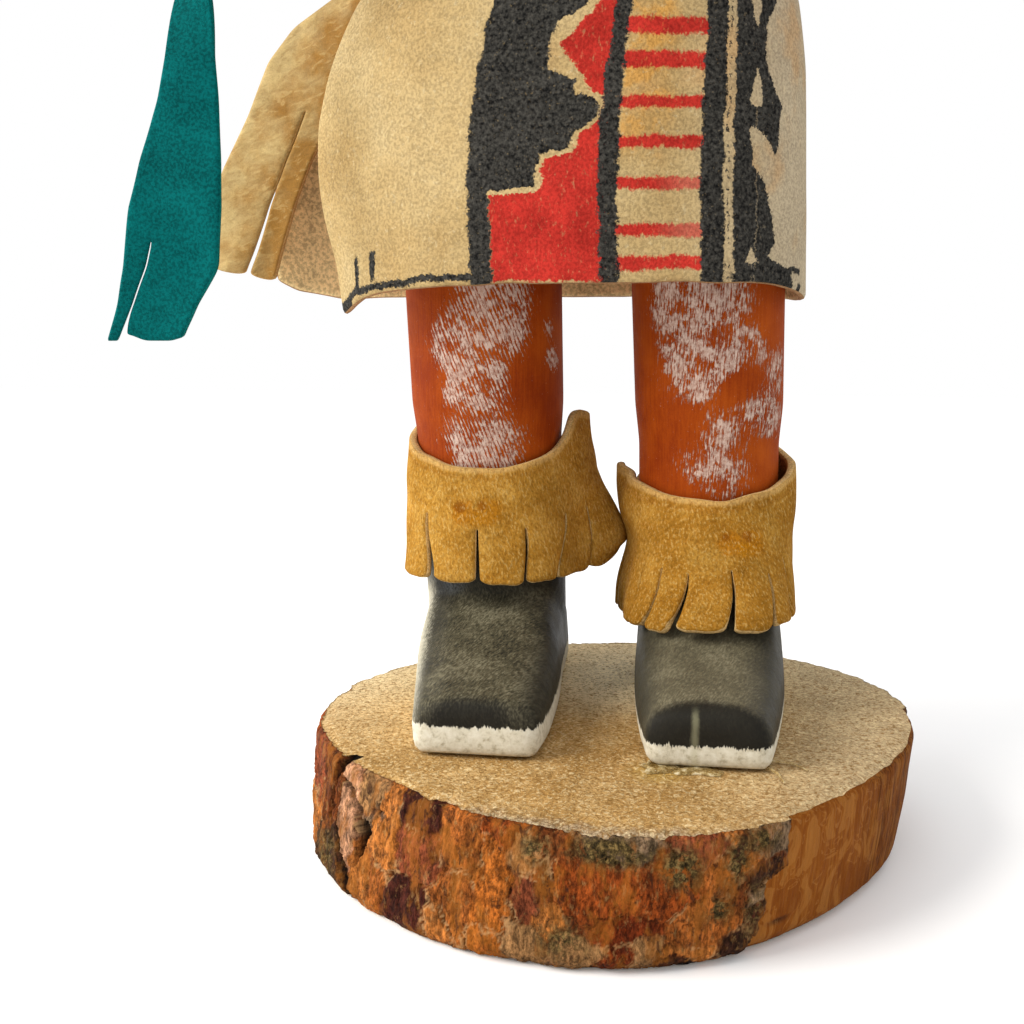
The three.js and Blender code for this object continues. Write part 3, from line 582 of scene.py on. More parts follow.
def kilt_painted():
    material, finish, shader = new_finish("painted kilt suede", Roughness=0.95,
                                          Specular_IOR_Level=0.04)
    place = finish.place()
    cut = finish.parts(finish.add("UVMap", uv_map="cut").outputs[0])
    shake = finish.math("SUBTRACT", finish.grain(place, 2.2, 4, 0.7), 0.5)
    shiver = finish.math("SUBTRACT", finish.grain(place, 0.35, 2, 0.6), 0.5)
    wander = finish.math("ADD", finish.math("MULTIPLY", shake, 0.010),
                         finish.math("MULTIPLY", shiver, 0.005))
    across = finish.math("ADD", cut[0], wander)
    lift = finish.math("ADD", finish.math("MULTIPLY", shake, -0.024),
                       finish.math("MULTIPLY", shiver, 0.016))
    raw_up = finish.math("ADD", cut[1], lift)
    # the design is the same above and below its middle
    fold = finish.math("ABSOLUTE", finish.math("SUBTRACT", raw_up, DESIGN_MIDDLE))
    up = finish.math("SUBTRACT", DESIGN_MIDDLE, fold)
    soft = 0.0008

    def left_of(points, value=across):
        line = finish.curve(up, points)
        return finish.step(finish.math("SUBTRACT", value, line), -soft, soft, 1, 0)

    bars = finish.any_of(*(finish.band(across, low, high, soft) for low, high in BARS))
    cloud = finish.all_of(left_of(CLOUD_EDGE), finish.step(across, 0.19, 0.195))
    last = finish.all_of(left_of(TEETH), finish.step(across, LAST_BAR[0] - soft,
                                                     LAST_BAR[0] + soft))
    notch = finish.all_of(left_of(NOTCH), finish.step(across, LAST_BAR[1] - soft,
                                                      LAST_BAR[1] + soft))
    last = finish.math("MULTIPLY", last, finish.math("SUBTRACT", 1.0, notch))
    for middle, half in WINDOWS:
        away = finish.math("ABSOLUTE", finish.math("SUBTRACT", across, middle))
        last = finish.math("MULTIPLY", last, finish.math("SUBTRACT", 1.0, left_of(half, away)))
    sag = finish.grain(finish.stretched(place, 9, 9, 40), 1.0, 2)
    hem_top = finish.add("MapRange", {0: sag, 1: 0.3, 2: 0.7, 3: 0.020, 4: 0.042}).outputs[0]
    at_front = finish.step(across, 0.19, 0.2, 1, 0)
    corner = finish.step(cut[0], 0.012, 0.05, 0.06, 0)
    hem_foot = finish.math("SUBTRACT", hem_top, finish.math("ADD", 0.017, corner))
    hem_up = finish.math("SUBTRACT", raw_up, finish.step(across, 0.352, 0.44, 0, 0.022))
    hem = finish.band(hem_up, hem_foot, hem_top, 0.002)
    hem = finish.all_of(hem, finish.step(across, 0.437, 0.440, 1, 0),
                        finish.any_of(at_front, finish.step(across, 0.352, 0.356)))
    ticks = finish.any_of(*(finish.all_of(finish.band(across, at - 0.0041, at + 0.0041, soft),
                                          finish.band(raw_up, foot, head, 0.004))
                            for at, foot, head in TICKS))
    dashes = finish.all_of(finish.band(across, 0.3515, 0.3528, 0.0004),
                           finish.step(finish.grain(finish.stretched(place, 8, 8, 0.8), 1.0, 1),
                                       0.5, 0.55))
    black = finish.any_of(bars, cloud, last, hem, ticks, dashes)
    hairs = finish.math("MULTIPLY", finish.math("SUBTRACT", finish.grain(
        finish.stretched(place, 0.6, 0.6, 2.0), 1.0, 3, 0.7), 0.5), 0.018)
    red_up = finish.math("ADD", up, hairs)
    field = finish.all_of(finish.math("SUBTRACT", 1.0, left_of(FIELD_EDGE)),
                          finish.step(across, BARS[1][0] + 0.004, BARS[1][0] + 0.005, 1, 0),
                          finish.step(finish.math("ADD", raw_up, hairs), 0.004, 0.010))
    ladder = finish.all_of(
        finish.band(across, BARS[1][1] - 0.002, BARS[2][0] + 0.003, 0.001),
        finish.any_of(*(finish.band(red_up, foot, head, 0.004) for foot, head in RUNGS)))
    red = finish.any_of(field, ladder)
    golden = finish.all_of(
        finish.step(across, 0.30, 0.318, 1, 0), finish.step(across, 0.2776, 0.279),
        finish.step(up, 0.24, 0.40), finish.step(finish.grain(place, 3.5, 3), 0.42, 0.55, 0.3, 1))

    broad = finish.grain(place, 16, 3)
    right = finish.step(cut[0], 0.30, 0.42)
    cream = finish.ramp(broad, (0.3, (0.365, 0.240, 0.096)), (0.5, (0.43, 0.305, 0.138)),
                        (0.7, (0.49, 0.365, 0.182)))
    cream = finish.mix(finish.math("MULTIPLY", right, 0.8), cream, (0.43, 0.36, 0.255))
    warm = finish.step(finish.grain(place, 9, 3), 0.5, 0.7, 0, 0.55)
    cream = finish.mix(finish.math("MULTIPLY", warm, finish.step(cut[0], 0.19, 0.26)), cream,
                       (0.47, 0.27, 0.11))
    cream = finish.mix(finish.math("MULTIPLY", golden, 0.75), cream, (0.50, 0.245, 0.05))
    pale_nap = finish.step(finish.grain(place, 0.8, 4, 0.7), 0.55, 0.72, 0, 0.45)
    cream = finish.mix(pale_nap, cream, (0.60, 0.49, 0.29))
    worn = finish.step(finish.grain(finish.stretched(place, 0.5, 0.5, 1.2), 1.0, 4, 0.7),
                       0.56, 0.72, 1, 0.62)
    thin = finish.step(finish.grain(place, 0.5, 4, 0.7), 0.60, 0.74, 1, 0.62)
    red_paint = finish.ramp(finish.grain(place, 4, 4), (0.3, (0.32, 0.020, 0.014)),
                            (0.7, (0.50, 0.034, 0.024)))
    faded = finish.all_of(ladder, finish.step(across, 0.296, 0.325),
                          finish.band(up, 0.09, 0.26, 0.01), 0.45)
    red_paint = finish.mix(faded, red_paint, (0.46, 0.19, 0.12))
    black_paint = finish.ramp(finish.grain(place, 0.55, 4, 0.65), (0.36, (0.006, 0.006, 0.006)),
                              (0.66, (0.062, 0.058, 0.050)))
    painted = finish.mix(finish.math("MULTIPLY", red, worn), cream, red_paint)
    painted = finish.mix(finish.math("MULTIPLY", black, thin), painted, black_paint)
    nap = finish.group(NAP, Place=place, Colour=painted, Fleck=0.42, Depth=0.34, Clouds=0.10)
    finish.put(shader.inputs["Base Color"], nap["Colour"])
    finish.put(shader.inputs["Normal"], finish.bump(nap["Height"], 0.20))
    return material


def cuff_suede(name, tones, cuff, stain):
    """Thick tan buckskin, with a paler band at the rim, painted shade in the crease under it and a glue
    stain
    """
    material, finish, shader = new_finish(name, Roughness=0.95, Specular_IOR_Level=0.03)
    place = finish.place()
    cut = finish.parts(finish.add("UVMap", uv_map="cut").outputs[0])
    deep, middle, pale = tones
    tan = finish.ramp(finish.grain(place, 5, 4, 0.6), (0.32, deep), (0.5, middle), (0.70, pale))
    wobble = finish.math("MULTIPLY", finish.math("SUBTRACT", finish.grain(place, 3, 3), 0.5), 0.05)
    high = finish.math("ADD", cut[1], wobble)
    rim = finish.step(high, 0.93, 0.975)
    # painted shade: a dark brown band in the crease under the rim
    crease_shade = finish.band(high, 0.885, 0.925, 0.02)
    tan = finish.mix(finish.math("MULTIPLY", rim, 0.65), tan, (0.60, 0.37, 0.13))
    tan = finish.mix(finish.math("MULTIPLY", crease_shade, 0.35), tan, (0.28, 0.11, 0.014))
    low = finish.step(high, 0.0, 0.30, 0.30, 0)
    tan = finish.mix(low, tan, deep)
    at, size = stain
    ring_centre = stand(cuff_surface(cuff, np.array(at[0]), np.array(at[1])))
    noise = finish.math("MULTIPLY", finish.math("SUBTRACT", finish.grain(
        finish.stretched(place, 1.5, 1, 0.8), 1.2, 4, 0.7), 0.5), 1.2)
    for aside, lift, share, colour in ((-1.5, 0.3, 1.15, (0.37, 0.135, 0.005)),
                                       (2.2, 0.6, 1.15, (0.39, 0.150, 0.007)),
                                       (0.6, -0.8, 0.80, (0.40, 0.155, 0.005)),
                                       (-2.2, 1.3, 0.55, (0.19, 0.055, 0.004)),
                                       (1.2, 1.7, 0.50, (0.22, 0.068, 0.005))):
        centre = ring_centre + [aside, 0, lift]
        blot = finish.math("ADD", finish.spot(place, tuple(centre), size * share), noise)
        tan = finish.mix(finish.step(blot, 0.16, 0.56, 0, 0.72), tan, colour)
    hairs = finish.grain(finish.stretched(place, 0.34, 0.34, 0.85, (0, 0.25, 0)), 1.0, 3, 0.6)
    tan = finish.mix(finish.step(hairs, 0.53, 0.64, 0, 0.50), tan, (0.56, 0.36, 0.12))
    tan = finish.mix(finish.step(hairs, 0.36, 0.47, 0.45, 0), tan, (0.20, 0.075, 0.009))
    nap = finish.group(NAP, Place=place, Colour=tan, Fleck=0.42, Depth=0.26, Clouds=0.16)
    finish.put(shader.inputs["Base Color"], nap["Colour"])
    depth = finish.math("ADD", nap["Height"], hairs)
    finish.put(shader.inputs["Normal"], finish.bump(depth, 0.24))
    return material


def smooth_leather(name, pale, deep, wrinkle=0.10):
    """Grain leather: faint creases with painted shade in their hollows and painted highlights on their
    ridges, warmer towards one side
    """
    material, finish, shader = new_finish(name, Specular_IOR_Level=0.12)
    place = finish.place()
    cut = finish.parts(finish.add("UVMap", uv_map="cut").outputs[0])
    creases = finish.grain(finish.stretched(place, 2.2, 2.2, 0.9, (0, 0.35, 0)), 1.0, 3, 0.55, 0.8)
    tone = finish.math("ADD", finish.grain(place, 6, 4), finish.math(
        "MULTIPLY", finish.math("SUBTRACT", cut[0], 0.45), 0.42))
    colour = finish.ramp(tone, (0.36, pale), (0.66, deep))
    # painted shade in the creases' hollows, then painted highlights on their ridges
    colour = finish.mix(finish.step(creases, 0.36, 0.52, 0.30, 0), colour,
                        tuple(0.62 * c for c in deep))
    colour = finish.mix(finish.step(creases, 0.54, 0.66, 0, 0.35), colour,
                        tuple(min(1, 1.35 * c) for c in pale))
    nap = finish.group(NAP, Place=place, Colour=colour, Fleck=0.25, Depth=0.16, Clouds=0.14)
    finish.put(shader.inputs["Base Color"], nap["Colour"])
    finish.put(shader.inputs["Roughness"], finish.step(finish.grain(place, 2, 3), 0.3, 0.7,
                                                       0.6, 0.85))
    low = finish.bump(creases, wrinkle)
    finish.put(shader.inputs["Normal"], finish.bump(nap["Height"], 0.05, low))
    return material




def terracotta(finish, place):
    """Orange-brown paint brushed over carved wood, with the brush's lines"""
    lines = finish.grain(finish.stretched(place, 0.35, 0.35, 9), 1.0, 4, 0.65)
    blush = finish.grain(place, 9, 3)
    specks = finish.grain(place, 0.3, 3, 0.7)
    tone = finish.math("ADD", finish.math("MULTIPLY", lines, 0.3), finish.math(
        "ADD", finish.math("MULTIPLY", blush, 0.5), finish.math("MULTIPLY", specks, 0.2)))
    colour = finish.ramp(tone, (0.38, (0.19, 0.023, 0.0015)), (0.5, (0.26, 0.040, 0.002)),
                         (0.64, (0.34, 0.062, 0.004)))
    return colour, lines


# Scuffs on the legs, where the white under the paint shows: centre, reach, how much
RIGHT_SCUFFS = [
    ((-19.5, 8, 82), 9, 0.40), ((-23.5, 8, 76), 7, 0.40), ((-18.5, 8, 75), 6, 0.38),
    ((-24.5, 8, 70), 6.5, 0.36), ((-21.5, 8, 66), 6, 0.34), ((-26.8, 8.5, 66.2), 2.4, 0.44),
    ((-25, 8, 59), 7, 0.38), ((-20.5, 8, 55.5), 6.5, 0.40), ((-16.8, 9.5, 59), 4.5, 0.26),
    ((-11.7, 15.6, 71.3), 2.8, 0.60), ((-12.3, 14.6, 76), 2.4, 0.34), ((-28.5, 10, 74), 5, 0.26)]


LEFT_SCUFFS = [
    ((12, 8.6, 83), 12, 0.42), ((9.0, 8.8, 77), 9, 0.36), ((8.0, 9, 69), 6, 0.30),
    ((15.3, 8.8, 72.5), 4.0, 0.60), ((19.0, 10, 73.2), 3.6, 0.50), ((11.6, 8.6, 68.5), 4.2, 0.52),
    ((20.0, 11, 63.0), 5.0, 0.42), ((14.2, 8.7, 61.5), 4.0, 0.38), ((15.5, 8.8, 54), 7.0, 0.42),
    ((23, 15, 70), 5.5, 0.38), ((23, 15.4, 62), 5, 0.34), ((9.5, 8.8, 56), 4.5, 0.24)]


def painted_wood():
    """Legs, boots and soles: the paints meet at the height where the carving is marked"""
    material, finish, shader = new_finish("painted wood", Specular_IOR_Level=0.06)
    place = finish.place()
    x, y, z = finish.parts(place)
    height = finish.math("SUBTRACT", z, BASE_H)
    colour, lines = terracotta(finish, place)
    right_leg = finish.step(x, -5, -4.5, 1, 0)
    left_leg = finish.math("SUBTRACT", 1.0, right_leg)
    cloudy = finish.step(finish.grain(place, 3.2, 4, 0.65), 0.36, 0.58, 0.70, 1.15)
    marks = []
    for scuffs, leg, lean, comb in ((RIGHT_SCUFFS, right_leg, 21, 0.075),
                                    (LEFT_SCUFFS, left_leg, -3, 0.030)):
        spots = [finish.math("MULTIPLY", finish.spot(place, centre, 1.3 * size), amount)
                 for centre, size, amount in scuffs]
        patches = spots[0]
        for spot in spots[1:]:
            patches = finish.math("ADD", patches, spot)
        patches = finish.math("MULTIPLY", finish.math("MINIMUM", patches, 0.355), cloudy)
        along = finish.stretched(place, 0.22, 0.22, 1.5, (0, math.radians(lean), 0))
        brushed = finish.group(BRUSH, Place=along, Patches=patches, Comb=comb)["Mask"]
        marks.append(finish.math("MULTIPLY", brushed, leg))
    marks = finish.math("ADD", *marks)
    dust = finish.step(finish.grain(place, 0.45, 3, 0.7), 0.66, 0.74, 0, 0.35)
    marks = finish.math("MAXIMUM", finish.math("MULTIPLY", marks, 0.70), dust)
    white = finish.ramp(finish.grain(place, 0.8, 3, 0.7), (0.36, (0.34, 0.23, 0.18)),
                        (0.60, (0.60, 0.50, 0.42)))
    skin = finish.mix(marks, colour, white)

    hatch = finish.grain(finish.stretched(place, 0.24, 1.1, 0.60, (0.5, 0, 0.5)), 1.0, 4, 0.7)
    sheen = finish.math("ADD", finish.math("MULTIPLY", hatch, 0.66),
                        finish.math("MULTIPLY", finish.grain(place, 7, 3), 0.34))
    boot = finish.ramp(sheen, (0.38, (0.020, 0.019, 0.014)), (0.50, (0.078, 0.068, 0.040)),
                       (0.62, (0.190, 0.170, 0.110)))
    boot = finish.mix(finish.math("MULTIPLY", left_leg, 0.26), boot, (0.20, 0.17, 0.105))
    from_middle = finish.math("ABSOLUTE", finish.math("SUBTRACT", x, FIGURE_X))
    off_axis = finish.math("SUBTRACT", from_middle, ANKLE_APART - 1.5)
    # painted shade: the boots darker towards their sides, where they turn from the light
    edge_shade = finish.step(finish.math("ABSOLUTE", off_axis), 5.0, 9.5, 0, 0.75)
    boot = finish.mix(edge_shade, boot, (0.016, 0.015, 0.012))
    drift = finish.math("MULTIPLY", finish.math("SUBTRACT", hatch, 0.5), 5.0)
    leaning = finish.math("ADD", finish.math("ADD", x, drift), finish.math("MULTIPLY", y, 0.11))
    # painted highlight: a pale sheen along the right boot's outer flank
    flank_highlight = finish.step(leaning, -31.2, -28.6, 0.85, 0)
    boot = finish.mix(finish.all_of(flank_highlight, finish.step(height, 1.5, 3)), boot, (0.50, 0.46, 0.34))
    # painted highlight: a cool glint high on the right boot, at the ankle
    blue_highlight = finish.spot(place, (-27.5, 10.5, 37.5), 4.5)
    boot = finish.mix(finish.math("MULTIPLY", blue_highlight, finish.step(hatch, 0.40, 0.56)), boot,
                      (0.36, 0.39, 0.42))
    cuff_shade = finish.all_of(finish.step(height, 13.5, 17.5), finish.step(y, -4, 2))
    boot = finish.mix(finish.math("MULTIPLY", cuff_shade, 0.7), boot, (0.012, 0.011, 0.009))
    across_boot = finish.math("MULTIPLY", off_axis, off_axis)
    arch = finish.math("MULTIPLY", across_boot, 0.028)
    front = finish.math("ADD", finish.math("ADD", y, arch), finish.math("MULTIPLY", drift, 0.25))
    front = finish.math("ADD", front, finish.math("MULTIPLY", right_leg, 1.6))
    # painted shade: the toes' front faces darkened nearly to black
    toe = finish.all_of(finish.step(front, -18.6, -16.0, 1, 0), finish.step(height, 9.5, 11, 1, 0))
    boot = finish.mix(finish.math("MULTIPLY", toe, 0.94), boot, (0.012, 0.011, 0.009))
    nicks = finish.grain(finish.stretched(place, 0.6, 0.6, 3), 1.0, 4, 0.75)
    ragged = finish.math("MULTIPLY", finish.math("SUBTRACT", nicks, 0.5), 2.6)
    edge = finish.math("ADD", finish.math("ADD", height, ragged),
                       finish.math("MULTIPLY", left_leg, 1.1))
    sole = finish.step(edge, SOLE_H - 0.10, SOLE_H + 0.10, 1, 0)
    chalk = finish.ramp(finish.grain(place, 1.2, 5, 0.72), (0.34, (0.40, 0.36, 0.26)),
                        (0.46, (0.60, 0.56, 0.44)), (0.66, (0.71, 0.68, 0.57)))
    boot = finish.mix(sole, boot, chalk)
    drip = finish.all_of(finish.band(finish.math("ADD", x, finish.math("MULTIPLY", ragged, 0.3)),
                                     10.9, 11.7, 0.35), finish.step(y, -17.5, -16.5, 1, 0),
                         finish.step(height, 7.2, 8.6, 1, 0))
    boot = finish.mix(finish.math("MULTIPLY", drip, 0.32), boot, (0.42, 0.40, 0.24))
    is_boot = finish.step(height, 27.5, 28.5, 1, 0)
    finish.put(shader.inputs["Base Color"], finish.mix(is_boot, skin, boot))
    satin = finish.step(sheen, 0.3, 0.7, 0.38, 0.6)
    matt = finish.any_of(sole, finish.math("SUBTRACT", 1.0, is_boot))
    finish.put(shader.inputs["Roughness"], finish.any_of(satin, finish.math("MULTIPLY", matt,
                                                                            0.72)))
    tooled = finish.bump(finish.mix(is_boot, finish.math("ADD", lines, marks), hatch), 0.10)
    carved = finish.bump(finish.grain(place, 5, 2), 0.35, tooled)
    finish.put(shader.inputs["Normal"], finish.bump(sole, 0.25, carved, 0.6))
    return material


def plain_painted(name, deep, middle, pale, rough=0.5):
    material, finish, shader = new_finish(name, Specular_IOR_Level=0.4)
    place = finish.place()
    lines = finish.grain(finish.stretched(place, 0.5, 0.5, 5), 1.0, 4, 0.65)
    cloud = finish.grain(place, 6, 3)
    tone = finish.math("ADD", finish.math("MULTIPLY", lines, 0.5),
                       finish.math("MULTIPLY", cloud, 0.5))
    colour = finish.ramp(tone, (0.36, deep), (0.5, middle), (0.66, pale))
    finish.put(shader.inputs["Base Color"], colour)
    finish.put(shader.inputs["Roughness"], finish.step(cloud, 0.3, 0.7, rough - 0.1, rough + 0.12))
    finish.put(shader.inputs["Normal"], finish.bump(lines, 0.1))
    return material


def mask_paint():
    """Blue-green mask with black eye slits, a brow band and terracotta ears and snout tip"""
    material, finish, shader = new_finish("mask paint", Specular_IOR_Level=0.35)
    place = finish.place()
    x, y, z = finish.parts(place)
    level = BASE_H + HEAD_BASE_Z
    middle = FIGURE_X - LEAN * (HEAD_BASE_Z + 20)
    from_middle = finish.math("SUBTRACT", x, middle)
    aside = finish.math("ABSOLUTE", from_middle)
    height = finish.math("SUBTRACT", z, level)
    shake = finish.math("MULTIPLY", finish.math("SUBTRACT", finish.grain(place, 1.6, 3), 0.5), 0.8)
    aside_drawn = finish.math("ADD", aside, shake)
    drawn = finish.math("ADD", height, shake)
    lines = finish.grain(finish.stretched(place, 0.5, 0.5, 5), 1.0, 4, 0.65)
    blue = finish.ramp(lines, (0.35, (0.010, 0.090, 0.095)), (0.65, (0.022, 0.170, 0.165)))
    front = finish.step(y, FIGURE_Y - 3, FIGURE_Y - 2, 1, 0)
    eyes = finish.all_of(finish.band(aside_drawn, 4.2, 9.2, 0.15),
                         finish.band(drawn, 17.6, 19.8, 0.15), front)
    brow = finish.band(drawn, 25.6, 27.4, 0.15)
    crown = finish.step(drawn, 27.2, 27.6)
    ears = finish.step(aside, HEAD_R - 0.6, HEAD_R + 0.2)
    snout = finish.step(y, FIGURE_Y - HEAD_R - 5.6, FIGURE_Y - HEAD_R - 5.2, 1, 0)
    earth, _ = terracotta(finish, place)
    white = finish.ramp(lines, (0.35, (0.50, 0.46, 0.36)), (0.65, (0.68, 0.64, 0.53)))
    colour = finish.mix(crown, blue, earth)
    colour = finish.mix(brow, colour, white)
    colour = finish.mix(finish.any_of(ears, snout), colour, earth)
    colour = finish.mix(eyes, colour, (0.012, 0.012, 0.011))
    finish.put(shader.inputs["Base Color"], colour)
    finish.put(shader.inputs["Roughness"], finish.step(lines, 0.3, 0.7, 0.42, 0.62))
    finish.put(shader.inputs["Normal"], finish.bump(lines, 0.1))
    return material


def fibre(name, root, tip):
    """Wool or barb, lighter from strand to strand"""
    material, finish, shader = new_finish(name, Roughness=0.9, Sheen_Weight=0.2,
                                          Specular_IOR_Level=0.15)
    place = finish.place()
    strand = finish.grain(finish.stretched(place, 0.4, 0.4, 2.5), 1.0, 4, 0.7)
    finish.put(shader.inputs["Base Color"], finish.ramp(strand, (0.35, root), (0.68, tip)))
    finish.put(shader.inputs["Normal"], finish.bump(strand, 0.15))
    return material


def bark():
    """Side of the slice. The points carry each plate's own colour, the marks (1 crack, 2 lichen,
    3 raised lip) and where the wood is bare"""
    material, finish, shader = new_finish("bark and bare wood", Specular_IOR_Level=0.05)
    place = finish.place()
    paint = finish.add("Attribute", attribute_name="plate").outputs["Color"]
    marks = finish.add("Attribute", attribute_name="marks").outputs["Color"]
    crack, lichen, lip = finish.add("SeparateColor", {0: marks}).outputs
    wood_share = finish.add("Attribute", attribute_name="stripped").outputs["Fac"]
    tall = finish.stretched(place, 1, 1, 2.4)
    fine = finish.grain(tall, 0.42, 4, 0.72)
    mottle = finish.grain(tall, 1.7, 5, 0.70, 0.4)
    shade = finish.math("MULTIPLY", finish.step(fine, 0.36, 0.64, 0.45, 1.55),
                        finish.step(mottle, 0.34, 0.64, 0.55, 1.50))
    colour = finish.mix(1.0, paint, shade, "MULTIPLY")
    ember = finish.step(finish.grain(tall, 3.2, 4, 0.65), 0.48, 0.62, 0, 0.52)
    colour = finish.mix(ember, colour, (0.30, 0.100, 0.013))
    ash = finish.step(finish.grain(tall, 0.9, 6, 0.75), 0.54, 0.66, 0, 0.42)
    colour = finish.mix(ash, colour, (0.35, 0.195, 0.070))
    deep = finish.step(finish.grain(tall, 1.3, 5, 0.72, 0.6), 0.34, 0.44, 0.75, 0)
    colour = finish.mix(deep, colour, (0.035, 0.013, 0.007))
    colour = finish.mix(finish.math("MULTIPLY", lip, 0.62), colour, (0.48, 0.28, 0.12))
    moss = finish.ramp(finish.grain(place, 0.7, 5, 0.75), (0.36, (0.010, 0.008, 0.004)),
                       (0.5, (0.055, 0.036, 0.012)), (0.62, (0.20, 0.13, 0.045)))
    patchy = finish.all_of(lichen, finish.step(finish.grain(place, 1.6, 5, 0.7), 0.38, 0.52))
    colour = finish.mix(patchy, colour, moss)
    # cracks and the charred spot painted near black: dark inner bark and char, with painted shade in the
    # cracks
    colour = finish.mix(crack, colour, (0.005, 0.0035, 0.0025))

    x, y, z = finish.parts(place)
    fibres = finish.grain(finish.stretched(place, 0.45, 0.45, 16), 1.0, 4, 0.6, 0.3)
    patch = finish.grain(finish.stretched(place, 4.5, 4.5, 7), 1.0, 2, 0.45, 1.4)
    wood = finish.ramp(fibres, (0.36, (0.170, 0.046, 0.005)), (0.52, (0.215, 0.065, 0.008)),
                       (0.66, (0.265, 0.094, 0.015)))
    wood = finish.mix(finish.step(patch, 0.53, 0.56, 0, 0.55), wood, (0.31, 0.125, 0.026))
    wood = finish.mix(finish.step(patch, 0.42, 0.45, 0.5, 0), wood, (0.150, 0.038, 0.004))
    wood = finish.mix(finish.math("MULTIPLY", finish.band(patch, 0.450, 0.463, 0.004), 0.4), wood,
                      (0.34, 0.15, 0.04))
    far = finish.step(x, 32, 38)
    dark_grain = finish.math("MULTIPLY", finish.step(fibres, 0.42, 0.54, 0.85, 0), far)
    wood = finish.mix(dark_grain, wood, (0.060, 0.018, 0.003))
    wood = finish.mix(finish.math("MULTIPLY", far, 0.30), wood, (0.10, 0.028, 0.003))
    specks = finish.step(finish.grain(place, 0.5, 4, 0.75), 0.60, 0.70, 0, 0.45)
    wood = finish.mix(specks, wood, (0.10, 0.034, 0.006))
    finish.put(shader.inputs["Base Color"], finish.mix(wood_share, colour, wood))
    finish.put(shader.inputs["Roughness"], finish.step(mottle, 0.3, 0.7, 0.7, 0.95))
    relief = finish.bump(finish.mix(wood_share, fine, fibres), 0.25)
    finish.put(shader.inputs["Normal"], finish.bump(mottle, 0.40, relief))
    return material


def sawn_wood():
    """Fuzzy cut face: sandy nap, paler at the back and left, a painted pool of light on the top behind
    the boots, greyer at the right and the rim
    """
    material, finish, shader = new_finish("sawn end", Roughness=0.97, Specular_IOR_Level=0.03)
    place = finish.place()
    x, y, z = finish.parts(place)
    rim = finish.add("Attribute", attribute_name="rim").outputs["Fac"]
    sand = finish.ramp(finish.grain(place, 8, 4, 0.6), (0.34, (0.40, 0.225, 0.068)),
                       (0.5, (0.47, 0.280, 0.098)), (0.68, (0.55, 0.35, 0.140)))
    back = finish.step(finish.math("SUBTRACT", y, finish.math("MULTIPLY", x, 0.35)), -10, 30)
    sand = finish.mix(finish.math("MULTIPLY", back, 0.9), sand, (0.74, 0.58, 0.34))
    # painted light: a bright pool on the top behind the boots, where the doll shades it
    painted_light_pool = finish.spot(place, (2, 20, BASE_H), 26)
    sand = finish.mix(finish.math("MULTIPLY", painted_light_pool, 0.75), sand, (0.97, 0.86, 0.60))
    right = finish.step(x, 8, 36)
    sand = finish.mix(finish.math("MULTIPLY", right, 0.65), sand, (0.52, 0.42, 0.265))
    orange = finish.spot(place, (-28, -4, BASE_H), 24)
    sand = finish.mix(finish.math("MULTIPLY", orange, 0.5), sand, (0.72, 0.46, 0.19))
    gluey = finish.spot(place, (6.5, -21.5, BASE_H), 6)
    sand = finish.mix(finish.math("MULTIPLY", gluey, 0.6), sand, (0.46, 0.30, 0.06))
    edge = finish.step(finish.math("ADD", rim, finish.math("MULTIPLY", finish.math(
        "SUBTRACT", finish.grain(place, 2.0, 5, 0.7), 0.5), 1.1)), 0.30, 0.85)
    grey = finish.ramp(finish.grain(place, 0.8, 5, 0.7), (0.36, (0.15, 0.100, 0.060)),
                       (0.52, (0.33, 0.240, 0.150)), (0.66, (0.52, 0.42, 0.29)))
    sand = finish.mix(finish.math("MULTIPLY", edge, 0.85), sand, grey)
    fuzz = finish.grain(place, 0.55, 3, 0.65, 0.8)
    sand = finish.mix(finish.step(fuzz, 0.36, 0.50, 0.80, 0), sand, (0.25, 0.130, 0.036))
    sand = finish.mix(finish.step(fuzz, 0.52, 0.66, 0, 0.60), sand, (0.82, 0.66, 0.38))
    nap = finish.group(NAP, Place=place, Colour=sand, Fleck=0.4, Depth=0.28, Clouds=0.14)
    finish.put(shader.inputs["Base Color"], nap["Colour"])
    finish.put(shader.inputs["Normal"], finish.bump(fuzz, 0.40))
    return material


def dried_glue():
    material, finish, shader = new_finish("dried glue", IOR=1.46, Coat_Weight=0.1,
                                          Specular_IOR_Level=0.25)
    place = finish.place()
    cloudy = finish.grain(place, 1.1, 4, 0.65)
    colour = finish.ramp(cloudy, (0.36, (0.30, 0.17, 0.035)), (0.5, (0.48, 0.34, 0.13)),
                         (0.64, (0.72, 0.62, 0.40)))
    finish.put(shader.inputs["Base Color"], colour)
    finish.put(shader.inputs["Roughness"], finish.step(cloudy, 0.3, 0.7, 0.25, 0.5))
    finish.put(shader.inputs["Alpha"], finish.step(cloudy, 0.36, 0.62, 0.25, 0.75))
    finish.put(shader.inputs["Normal"], finish.bump(cloudy, 0.15))
    return material


def pale_floor():
    material, finish, shader = new_finish("pale floor", Roughness=0.95, Specular_IOR_Level=0.0)
    place = finish.place()
    finish.put(shader.inputs["Base Color"], finish.ramp(finish.grain(place, 40, 3),
                                                        (0.3, (0.96, 0.96, 0.96)),
                                                        (0.7, (0.98, 0.98, 0.98))))
    return material


# Pieces

AROUND = 760


ROWS = 70


# Where the bark is gone: height, and the directions (degrees) from and to
BARE = np.array([[0, -64, 14], [1.5, -63.5, 14], [3.2, -60, 14], [9.6, -60.4, 14],
                 [11.4, -56.2, 14], [18, -56.2, 14]])


ORANGE, OCHRE, AMBER = (0.285, 0.095, 0.020), (0.215, 0.062, 0.012), (0.235, 0.066, 0.010)


RED, DEEP, BROWN = (0.165, 0.034, 0.006), (0.110, 0.018, 0.004), (0.100, 0.026, 0.006)


